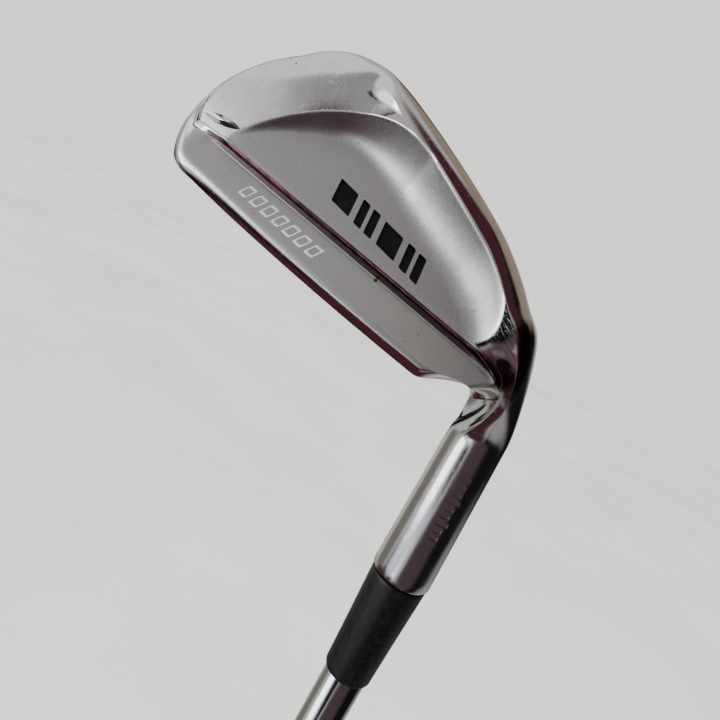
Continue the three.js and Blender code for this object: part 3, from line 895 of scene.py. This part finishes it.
def turned(name, outer, inner, segments, relief=None):
    """A hollow body of revolution about the shaft from [radius, z] points, outside and then back inside."""
    profile = np.array([*outer, *inner], float)
    angles = whole_turn(segments)
    radius = np.repeat(profile[:, :1], segments, 1)
    if relief is not None:
        radius[: len(outer)] += relief(angles[None, :], profile[: len(outer), 1:])
    height = np.repeat(profile[:, 1:], segments, 1)
    points = np.dstack([radius * np.cos(angles), radius * np.sin(angles), height])
    thing = outward(new_mesh(name, points.reshape(-1, 3), looped(len(profile), segments)))
    thing.data.shade_smooth()
    thing.data.set_sharp_from_angle(angle=math.radians(35))
    return thing


BUTT = CAD_BOX[0][2] / MM
HOSEL_FACE = GROUND - HOSEL_TOP
FERRULE_LENGTH = 25.4
FERRULE_TIP_RADIUS = 5.4
FERRULE_LIP = (0.65, 0.9)  # how far in and how far along the rounding of its thin end reaches
FERRULE_CURVE = 1.15  # power of its taper
JOINT_GAP = 0.3
TIP_RADIUS = 4.7
BUTT_RADIUS = 7.62
SHAFT_WALL = 0.7
TIP_PLAIN = 210
STEP_COUNT = 12
STEP_PITCH = 36
STEP_PROFILE = ((0, 1.1), (0.15, 0.85), (0.85, 0.15), (1, 0))  # share of its height, distance before its end
TIP_ROUND = 0.25
SLIDE_GAP = 0.05
GRIP_LENGTH = 267
GRIP_CAP_THICKNESS = 3
GRIP_CAP_RADIUS = 13.6
# The cap's skin: how far out from its radius, and how far from the butt.
CAP_LOW = ((-1.4, 0), (-0.8, 0.15), (-0.25, 0.7), (0, 1.5))
CAP_HIGH = ((0, 3), (-0.3, 3.4), (-0.65, 3.8), (-0.6, 4.3))
GRIP_BUTT_RADIUS = 13.2
GRIP_MOUTH_RADIUS = 8.7
VENT_RADIUS = 1.5
TAPE_THICKNESS = 0.2
BAND_LENGTH = 60
BAND_FROM_GRIP = 9
BAND_THICKNESS = 0.15
GRIP_GROOVES = 24  # round the grip, each way
GRIP_GROOVE_PITCH = 3.1  # along it
GRIP_GROOVE = (0.13, 0.38)  # width, as a share of the pitch, and depth
GRIP_RING_PITCH = 4.0
GRIP_RING = (0.12, 0.3)
TIP = HOSEL_FACE + BORE_DEPTH - 1
SHAFT_START = BUTT + GRIP_CAP_THICKNESS + JOINT_GAP
GRIP_MOUTH = BUTT + GRIP_LENGTH


def ferrule():
    """The plastic collar under the hosel, with a soft lip at its thin end."""
    thick = HOSEL_FACE - JOINT_GAP
    thin = thick - FERRULE_LENGTH
    inward, along = FERRULE_LIP
    turn = np.linspace(0.1, math.pi / 2, 8)
    lip = np.column_stack([FERRULE_TIP_RADIUS - inward * (1 - np.sin(turn)), thin + along * (1 - np.cos(turn))])
    share = np.linspace(0.02, 1, 40)
    radius = lerp(FERRULE_TIP_RADIUS, HOSEL_TOP_RADIUS - 0.3, share**FERRULE_CURVE)
    wall = np.column_stack([radius, lerp(thin + along, thick - 0.5, share)])
    top = [(HOSEL_TOP_RADIUS - 0.38, thick - 0.15), (HOSEL_TOP_RADIUS - 0.6, thick)]
    inside_radius = TIP_RADIUS + SLIDE_GAP
    return turned("ferrule_skin", [*lip, *wall, *top], [(inside_radius, thick), (inside_radius, thin)], 128)


def shaft():
    """The stepped tube: twelve small steps, each a short cone, down to the parallel tip."""
    growth = (BUTT_RADIUS - TIP_RADIUS) / STEP_COUNT
    outer = [(BUTT_RADIUS, SHAFT_START)]
    for step in range(STEP_COUNT, 0, -1):
        z = TIP - TIP_PLAIN - (step - 1) * STEP_PITCH
        radius = TIP_RADIUS + step * growth
        outer += [(radius - growth * share, z - before) for share, before in STEP_PROFILE]
    outer += [(TIP_RADIUS, TIP - 0.4), (TIP_RADIUS - TIP_ROUND, TIP)]
    inner = [(radius - SHAFT_WALL + (TIP_ROUND if z == TIP else 0), z) for radius, z in reversed(outer)]
    return turned("shaft_tube", outer, inner, 96)


def groove(run, width):
    """How deep each point is in a row of grooves, one at every whole number of the run."""
    return np.exp(-(((run - np.round(run)) / width) ** 2))


def grip_relief(angle, z):
    """Moulded pattern of the grip: crossed grooves between plain bands, and rings at its mouth."""
    share = (z - BUTT) / GRIP_LENGTH
    turns = angle / (2 * math.pi) * GRIP_GROOVES
    run = z / GRIP_GROOVE_PITCH
    crossed = np.maximum(groove(turns - run, GRIP_GROOVE[0]), groove(turns + run, GRIP_GROOVE[0]))
    body = over(share, 0.09, 0.01) * under(share, 0.9, 0.01)
    body = body * (1 - over(share, 0.42, 0.005) * under(share, 0.46, 0.005))
    rings = groove(z / GRIP_RING_PITCH, GRIP_RING[0]) * over(share, 0.91, 0.005) * under(share, 0.985, 0.005)
    return -GRIP_GROOVE[1] * crossed * body - GRIP_RING[1] * rings


def grip():
    """The rubber sleeve with its cap, whose rim stands proud round a vent hole."""
    cap_top = BUTT + GRIP_CAP_THICKNESS
    cap = [(VENT_RADIUS, BUTT), *((GRIP_CAP_RADIUS + out, BUTT + up) for out, up in CAP_LOW + CAP_HIGH)]
    share = np.linspace(0, 1, 460)
    radius = lerp(GRIP_BUTT_RADIUS, GRIP_MOUTH_RADIUS, share**0.8)
    body = np.column_stack([radius, lerp(cap_top + 2, GRIP_MOUTH - 0.4, share)])
    bore_radius = BUTT_RADIUS + TAPE_THICKNESS + 2 * SLIDE_GAP
    mouth = (GRIP_MOUTH_RADIUS - 0.35, GRIP_MOUTH)
    inner = [(bore_radius, GRIP_MOUTH), (bore_radius, cap_top), (VENT_RADIUS, cap_top)]
    return turned("grip_sleeve", [*cap, *body, mouth], inner, 144, grip_relief)


def shaft_band():
    """The plain film round the shaft, below the grip."""
    inner = BUTT_RADIUS + SLIDE_GAP
    outer = inner + BAND_THICKNESS
    start, end = GRIP_MOUTH + BAND_FROM_GRIP, GRIP_MOUTH + BAND_FROM_GRIP + BAND_LENGTH
    skin = [(outer - 0.05, start), (outer, start + 0.1), (outer, end - 0.1), (outer - 0.05, end)]
    return turned("shaft_label", skin, [(inner, end), (inner, start)], 96)


# ---- Materials ----


def plug(socket, value):
    """Gives an input another node's output, or a value of its own."""
    if isinstance(value, bpy.types.NodeSocket):
        socket.id_data.links.new(value, socket)
    else:
        socket.default_value = value


def put(near, kind, inputs=None, **settings):
    """Adds a shader node to the tree that a node or socket is in."""
    made = near.id_data.nodes.new("ShaderNode" + kind)
    for key, value in settings.items():
        setattr(made, key, value)
    for key, value in (inputs or {}).items():
        plug(made.inputs[key], value)
    return made


def maths(operation, a, b=0.0):
    return put(a, "Math", {0: a, 1: b}, operation=operation).outputs[0]


def product(*factors):
    return functools.reduce(lambda a, b: maths("MULTIPLY", a, b), factors)


def total(*terms):
    """The sum of its terms, each an output or a tuple of values to multiply together."""
    values = [product(*term) if isinstance(term, tuple) else term for term in terms]
    return functools.reduce(lambda a, b: maths("ADD", a, b), values)


def vector_maths(operation, a, b=(0, 0, 0), output="Vector"):
    return put(a, "VectorMath", {0: a, 1: b}, operation=operation).outputs[output]


def ramp(value, low, high, start=0.0, end=1.0):
    """A value mapped from low..high to start..end, smoothly and clamped."""
    inputs = {"Value": value, "From Min": low, "From Max": high, "To Min": start, "To Max": end}
    return put(value, "MapRange", inputs, interpolation_type="SMOOTHSTEP").outputs["Result"]


def mixed(share, *colours):
    """Two colours mixed."""
    first, second = (tint if isinstance(tint, bpy.types.NodeSocket) else (*tint, 1) for tint in colours)
    return put(share, "Mix", {0: share, 6: first, 7: second}, data_type="RGBA").outputs[2]


def attribute(near, name, output="Fac"):
    return put(near, "Attribute", attribute_name=name).outputs[output]


def object_place(near):
    return put(near, "TexCoord").outputs["Object"]


def bump(height, strength, distance):
    """Bumps from a height; the distance is in millimetres."""
    return put(height, "Bump", {"Height": height, "Strength": strength, "Distance": distance * MM}).outputs[0]


def stretched(where, scale, turn=(0, 0, 0)):
    return put(where, "Mapping", {"Vector": where, "Scale": scale, "Rotation": turn}).outputs[0]


def noise(where, scale, detail=2.0, roughness=0.5):
    inputs = {"Vector": where, "Scale": scale, "Detail": detail, "Roughness": roughness}
    return put(where, "TexNoise", inputs).outputs["Fac"]


def cleared(thing):
    """The emptied node tree of a material or a world."""
    thing.use_nodes = True
    thing.node_tree.nodes.clear()
    return thing.node_tree


def new_material(name):
    made = bpy.data.materials.new(name)
    shader = put(cleared(made), "BsdfPrincipled")
    put(shader, "OutputMaterial", {"Surface": shader.outputs[0]})
    return made, shader


def feed(shader, **inputs):
    for key, value in inputs.items():
        plug(shader.inputs[key.replace("_", " ")], value)


def scratches(where, turn, scale, threshold):
    """Fine scratches across a surface: long thin crests of a stretched noise."""
    return ramp(noise(stretched(where, scale, turn), 1.0, 3.0, 0.6), threshold, threshold + 0.06)


def pits(where, scale, size, rarity):
    """Small round pits, one here and there."""
    cells = put(where, "TexVoronoi", {"Vector": where, "Scale": scale, "Randomness": 1.0})
    close = ramp(cells.outputs["Distance"], size, size * 0.4)
    chosen = put(cells, "SeparateColor", {0: cells.outputs["Color"]}).outputs[0]
    return product(close, ramp(chosen, rarity, rarity + 0.02))


# Places of the rusted dings across the back, each with its size.
RUST_SPOTS = (
    (65.7, 23.0, 0.35),
    (67.9, 23.2, 0.3),
    (65.7, 30.6, 0.18),
    (62.4, 36.2, 0.16),
    (18.3, 30.6, 0.5),
)


def spots(where):
    """A few rusted dings at places of their own."""
    ragged = ramp(noise(where, 2.2, 3.0), 0.3, 0.7, 1.6, 0.7)
    flat = vector_maths("MULTIPLY", where, (1, 1, 0))
    dings = []
    for x, y, size in RUST_SPOTS:
        away = vector_maths("DISTANCE", flat, (x, y, 0), "Value")
        dings.append(ramp(product(away, ragged), size, size * 0.5))
    return maths("MINIMUM", total(*dings), 1.0)


POLISHED_ROUGHNESS = 0.07


def chrome():
    """Chrome plate: mirror polished round the edges, brushed on the strip, blasted in the recess."""
    made, shader = new_material("head_chrome")
    where = attribute(shader, "blade", "Vector")
    strip, field, face = (attribute(shader, name) for name in ("strip", "field", "face"))
    satin = maths("MAXIMUM", strip, face)
    wear = noise(where, 0.12, 3.0)
    fine = scratches(where, (0, 0, 0.5), (0.5, 14, 9), 0.62)
    cross = scratches(where, (0, 0, -0.9), (0.4, 11, 9), 0.66)
    lines = total((fine, ramp(wear, 0.4, 0.6)), cross)
    holes = pits(where, 0.55, 0.12, 0.86)
    rust = maths("MAXIMUM", spots(where), product(holes, 0.6))
    grain = noise(where, 3.2, 4.0, 0.75)
    brushed = noise(stretched(where, (1.2, 9, 9), (0, 0, 0.33)), 2.0, 3.0, 0.6)
    drawn_out = noise(stretched(object_place(shader), (1500, 1500, 130)), 1.0, 4.0, 0.7)
    on_hosel = ramp(put(where, "SeparateXYZ", {0: where}).outputs["X"], -9.0, -14.0)
    haze = product(drawn_out, on_hosel)
    cloud = noise(where, 0.25, 3.0, 0.6)
    polished = mixed(ramp(cloud, 0.3, 0.7), (0.80, 0.79, 0.79), (0.72, 0.71, 0.72))
    blasted = mixed(ramp(grain, 0.35, 0.65), (0.44, 0.43, 0.43), (0.60, 0.59, 0.58))
    drawn = mixed(ramp(brushed, 0.35, 0.65), (0.53, 0.52, 0.51), (0.61, 0.60, 0.59))
    # Painted dark reflection: a streaked wine-dark tone standing in for the dark surroundings mirrored on the
    # bevel, the neck and the toe's edge.
    streak = noise(stretched(where, (0.12, 1.6, 1.6), (0, 0, 0.34)), 1.0, 3.0, 0.6)
    painted_reflection_tone = mixed(ramp(streak, 0.4, 0.6), (0.13, 0.05, 0.062), (0.045, 0.028, 0.032))
    colour = mixed(satin, polished, drawn)
    colour = mixed(field, colour, blasted)
    # Lays the painted dark reflection over the chrome's colour.
    colour = mixed(attribute(shader, "painted_reflection"), colour, painted_reflection_tone)
    colour = mixed(rust, colour, (0.16, 0.085, 0.04))
    worn = ramp(cloud, 0.45, 0.75, 0.0, 0.05)
    rough = total((lines, 0.10), worn, (haze, 0.12), (satin, 0.24), (field, 0.30), (rust, 0.4))
    rough = maths("ADD", rough, POLISHED_ROUGHNESS)
    height = total((lines, -0.25), (haze, 0.5), (grain, field, 1.1), (brushed, satin, 0.35))
    height = total(height, (rust, -1.2), (cloud, 0.25))
    feed(shader, Base_Color=colour, Metallic=1.0, Roughness=rough, Normal=bump(height, 0.35, 0.06))
    return made


def mark_paint():
    """Black paint, chipped here and there down to the metal."""
    made, shader = new_material("mark_paint")
    where = attribute(shader, "blade", "Vector")
    chips = ramp(noise(where, 0.9, 4.0, 0.7), 0.66, 0.72)
    colour = mixed(chips, (0.004, 0.004, 0.005), (0.20, 0.16, 0.11))
    rough = ramp(chips, 0, 1, 0.4, 0.6)
    relief = bump(noise(where, 6.0), 0.4, 0.05)
    feed(shader, Base_Color=colour, Roughness=rough, Normal=relief, Specular_IOR_Level=0.15)
    return made


def name_paint():
    """White paint in the outlines on the strip, grey where it has worn."""
    made, shader = new_material("name_paint")
    where = attribute(shader, "blade", "Vector")
    worn = ramp(noise(where, 1.1, 4.0, 0.7), 0.52, 0.66)
    grain = noise(where, 8.0)
    colour = mixed(worn, (0.86, 0.86, 0.84), (0.42, 0.41, 0.40))
    rough = ramp(grain, 0.3, 0.7, 0.45, 0.6)
    feed(shader, Base_Color=colour, Roughness=rough, Normal=bump(grain, 0.3, 0.03))
    return made


def shaft_chrome():
    """Bright plate on a drawn tube, with faint rings from polishing."""
    made, shader = new_material("shaft_chrome")
    where = object_place(shader)
    rings = noise(stretched(where, (300, 300, 9000)), 1.0, 2.0)
    cloud = noise(where, 90.0, 3.0)
    lines = scratches(where, (0.2, 0.1, 0), (5000, 5000, 260), 0.67)
    colour = mixed(ramp(cloud, 0.35, 0.7), (0.80, 0.80, 0.79), (0.70, 0.69, 0.69))
    rough = total(ramp(rings, 0.3, 0.7, 0.08, 0.13), (lines, 0.15))
    relief = bump(total(rings, lines), 0.08, 0.03)
    feed(shader, Base_Color=colour, Metallic=1.0, Roughness=rough, Normal=relief)
    return made


def ferrule_plastic():
    """Black plastic, dulled and scuffed along its length."""
    made, shader = new_material("ferrule_plastic")
    where = object_place(shader)
    scuffs = scratches(where, (0.1, 0.3, 0), (3800, 3800, 260), 0.66)
    grain = noise(where, 900.0, 3.0, 0.7)
    dust = pits(where, 500.0, 0.12, 0.84)
    colour = mixed(ramp(grain, 0.4, 0.8), (0.004, 0.004, 0.005), (0.012, 0.012, 0.014))
    marks = product(maths("MAXIMUM", scuffs, dust), 0.4)
    colour = mixed(marks, colour, (0.07, 0.07, 0.075))
    rough = total(ramp(grain, 0.3, 0.7, 0.36, 0.5), (scuffs, 0.1))
    relief = bump(total(grain, scuffs), 0.3, 0.05)
    feed(shader, Base_Color=colour, Roughness=rough, Normal=relief)
    return made


def grip_rubber():
    """Moulded rubber with a fine grain, paler where hands have worn it."""
    made, shader = new_material("grip_rubber")
    where = object_place(shader)
    grain = noise(where, 1500.0, 4.0, 0.7)
    worn = ramp(noise(where, 28.0, 3.0), 0.45, 0.75)
    colour = mixed(worn, (0.018, 0.018, 0.019), (0.045, 0.044, 0.043))
    rough = ramp(grain, 0.3, 0.7, 0.6, 0.8)
    feed(shader, Base_Color=colour, Roughness=rough, Normal=bump(grain, 0.5, 0.1))
    return made


def band_film():
    """A printed film of plain stripes along the shaft."""
    made, shader = new_material("band_film")
    where = object_place(shader)
    height = put(where, "SeparateXYZ", {0: where}).outputs["Z"]
    middle = (GRIP_MOUTH + BAND_FROM_GRIP + BAND_LENGTH / 2) * MM
    away = maths("ABSOLUTE", maths("SUBTRACT", height, middle))
    ends = maths("GREATER_THAN", away, 0.4 * BAND_LENGTH * MM)
    waist = maths("LESS_THAN", away, 0.05 * BAND_LENGTH * MM)
    scuff = ramp(noise(where, 700.0, 4.0, 0.7), 0.6, 0.75, 0.0, 0.5)
    colour = mixed(maths("MAXIMUM", ends, waist), (0.03, 0.033, 0.045), (0.42, 0.42, 0.43))
    colour = mixed(scuff, colour, (0.35, 0.35, 0.35))
    feed(shader, Base_Color=colour, Roughness=ramp(scuff, 0, 1, 0.28, 0.6), Coat_Weight=0.5)
    return made


def plain_finish(name, light, dark, roughness, metallic, scale):
    """A finish for the parts that are hidden inside: grained, in two tones."""
    made, shader = new_material(name)
    grain = noise(object_place(shader), scale, 4.0, 0.6)
    rough = ramp(grain, 0.3, 0.7, roughness, roughness + 0.15)
    colour = mixed(grain, light, dark)
    feed(shader, Base_Color=colour, Metallic=metallic, Roughness=rough, Normal=bump(grain, 0.3, 0.1))
    return made


# ---- Stage, light and camera ----

CAMERA_FROM_HOSEL = (-18.64, 117.72, 59.48)
CAMERA_FORWARD = Vector((0.3746, -0.9070, -0.1925))
CAMERA_UP = Vector((0.4807, 0.0125, 0.8768))
CAMERA_LENS = 30
FLOOR_HALF = 12000
SUN_POWER = 4.0
SUN_WIDTH = math.radians(80)
LAMP_TARGET = Vector((0.03, 0.01, GROUND * MM))  # the head's middle, in metres


def camera():
    view = bpy.data.cameras.new("camera")
    view.lens = CAMERA_LENS
    view.sensor_width = 36
    view.clip_start = 0.005
    view.clip_end = 100
    thing = linked("camera", view)
    back = -CAMERA_FORWARD.normalized()
    right = CAMERA_UP.cross(back).normalized()
    turn = Matrix((right, back.cross(right), back)).transposed().to_4x4()
    place = Vector(CAMERA_FROM_HOSEL) + Vector((0, 0, HOSEL_FACE))
    thing.matrix_world = Matrix.Translation(place * MM) @ turn
    bpy.context.scene.camera = thing


def floor():
    corners = [(a * FLOOR_HALF, b * FLOOR_HALF, BUTT) for a, b in SQUARE]
    thing = new_mesh("floor", corners, [[0, 1, 2, 3]])
    made, shader = new_material("floor_stone")
    veins = noise(object_place(shader), 1.3, 5.0, 0.6)
    colour = mixed(ramp(veins, 0.35, 0.75), (0.90, 0.89, 0.88), (0.80, 0.78, 0.76))
    feed(shader, Base_Color=colour, Roughness=0.6)
    thing.data.materials.append(made)
    thing.visible_glossy = False  # the metal mirrors the room, not the stage


def toward(ray, turn, rise, inner, outer):
    """How much a ray looks into a round patch of the room, with a soft edge between two angles.

    All in degrees: turn is from +Y towards +X, and rise is towards +Z.
    """
    turn, rise = math.radians(turn), math.radians(rise)
    aim = (math.sin(turn) * math.cos(rise), math.cos(turn) * math.cos(rise), math.sin(rise))
    along = vector_maths("DOT_PRODUCT", ray, aim, "Value")
    return ramp(along, math.cos(math.radians(outer)), math.cos(math.radians(inner)))


# The room that the metal mirrors, patch over patch: turn, rise, inner and outer angle, colour.
PALE = (0.60, 0.59, 0.58)
WHITE = (1.7, 1.72, 1.75)
HOT = (6.0, 6.1, 6.3)
LIGHT = (0.95, 0.96, 0.99)
SKY = (0.80, 0.86, 0.94)
GREY = (0.34, 0.33, 0.34)
OLIVE = (0.20, 0.19, 0.16)
TAN = (0.30, 0.25, 0.19)
WINE = (0.070, 0.022, 0.029)
MAUVE = (0.080, 0.052, 0.062)
BLACK = (0.010, 0.009, 0.010)
ROOM = (
    (-100, 5, 68, 82, BLACK),
    (-140, -52, 22, 40, GREY),
    (-34, -22, 18, 38, MAUVE),
    (-70, 50, 26, 44, WINE),
    (-115, 64, 20, 32, WINE),
    (47, -36, 12, 20, MAUVE),
    (25, -13, 18, 32, SKY),
    (14, -29, 3, 8, WHITE),
    (82, 47, 12, 34, LIGHT),
    (52, 12, 10, 24, WHITE),
    (46, 0, 4, 10, HOT),
    (90, -20, 13, 27, OLIVE),
    (135, -15, 16, 26, PALE),
    (-5, -62, 16, 26, WINE),
    (150, -60, 20, 40, WINE),
    (75, -60, 24, 32, WINE),
    (62, -50, 4, 10, BLACK),
    (7, -7, 8, 13, BLACK),
    (25, -44, 6, 11, WINE),
    (-8, 18, 6, 12, BLACK),
    (156, 18, 8, 14, WINE),
    (178, 30, 16, 24, TAN),
    (138, 6, 12, 20, BLACK),
    (48, 46, 3, 11, GREY),
    (42, 40, 1.5, 4.5, WINE),
)
ROOM_RIPPLE = 0.12  # how much the patches' edges waver


def world():
    """Soft light all round, and the dark and bright patches that chrome needs to look like chrome."""
    made = bpy.data.worlds.new("world")
    bpy.context.scene.world = made
    ray = put(cleared(made), "TexCoord").outputs["Generated"]
    ripple = put(ray, "TexNoise", {"Vector": ray, "Scale": 5.0, "Detail": 3.0})
    swing = vector_maths("SUBTRACT", ripple.outputs["Color"], (0.5, 0.5, 0.5))
    swing = vector_maths("MULTIPLY", swing, (ROOM_RIPPLE, ROOM_RIPPLE, ROOM_RIPPLE))
    bent = vector_maths("NORMALIZE", vector_maths("ADD", ray, swing))
    colour = mixed(noise(ray, 2.0, 3.0), PALE, tuple(0.8 * channel for channel in PALE))
    for turn, rise, inner, outer, tint in ROOM:
        colour = mixed(toward(bent, turn, rise, inner, outer), colour, tint)
    seen = mixed(noise(ray, 2.5, 3.0), (1.36, 1.35, 1.32), (1.22, 1.19, 1.16))
    camera_ray = put(ray, "LightPath").outputs["Is Camera Ray"]
    light = put(ray, "Background", {"Color": mixed(camera_ray, colour, seen)})
    put(ray, "OutputWorld", {"Surface": light.outputs[0]})


def lamp(name, direction, distance, size, power):
    """A soft square lamp that shines on the head from a direction."""
    made = bpy.data.lights.new(name, "AREA")
    made.shape = "SQUARE"
    made.size = size
    made.energy = power
    thing = linked(name, made)
    aim = Vector(direction).normalized()
    thing.location = LAMP_TARGET + aim * distance
    thing.rotation_mode = "QUATERNION"
    thing.rotation_quaternion = aim.to_track_quat("Z", "Y")


def sun():
    """A wide sun that lights the stage softly, and that the metal doesn't mirror."""
    made = bpy.data.lights.new("floor_sun", "SUN")
    made.energy = SUN_POWER
    made.angle = SUN_WIDTH
    linked("floor_sun", made).visible_glossy = False


# ---- Assembly ----


def show(piece, node):
    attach(piece, "root")
    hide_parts(node)


def dressed(piece, material):
    piece.data.materials.clear()
    piece.data.materials.append(material)
    return piece


camera()
world()
floor()
sun()
lamp("key_lamp", direction=(0.58, 0.80, -0.15), distance=1.6, size=0.7, power=5)

show(clubhead(), "clubhead")
show(dressed(ferrule(), ferrule_plastic()), "ferrule")
show(dressed(shaft(), shaft_chrome()), "shaft")
show(dressed(grip(), grip_rubber()), "grip")
show(dressed(shaft_band(), band_film()), "shaft_band")
HIDDEN_FINISHES = {
    "hosel_epoxy": plain_finish("cured_epoxy", (0.55, 0.42, 0.20), (0.35, 0.26, 0.12), 0.3, 0.0, 700.0),
    "tip_plug": plain_finish("plug_steel", (0.50, 0.50, 0.51), (0.30, 0.30, 0.31), 0.4, 1.0, 500.0),
    "grip_tape": plain_finish("tape_paper", (0.62, 0.58, 0.48), (0.50, 0.45, 0.36), 0.8, 0.0, 900.0),
}
for node, finish in HIDDEN_FINISHES.items():
    for slot in frame["nodes"][node].material_slots:
        slot.material = finish
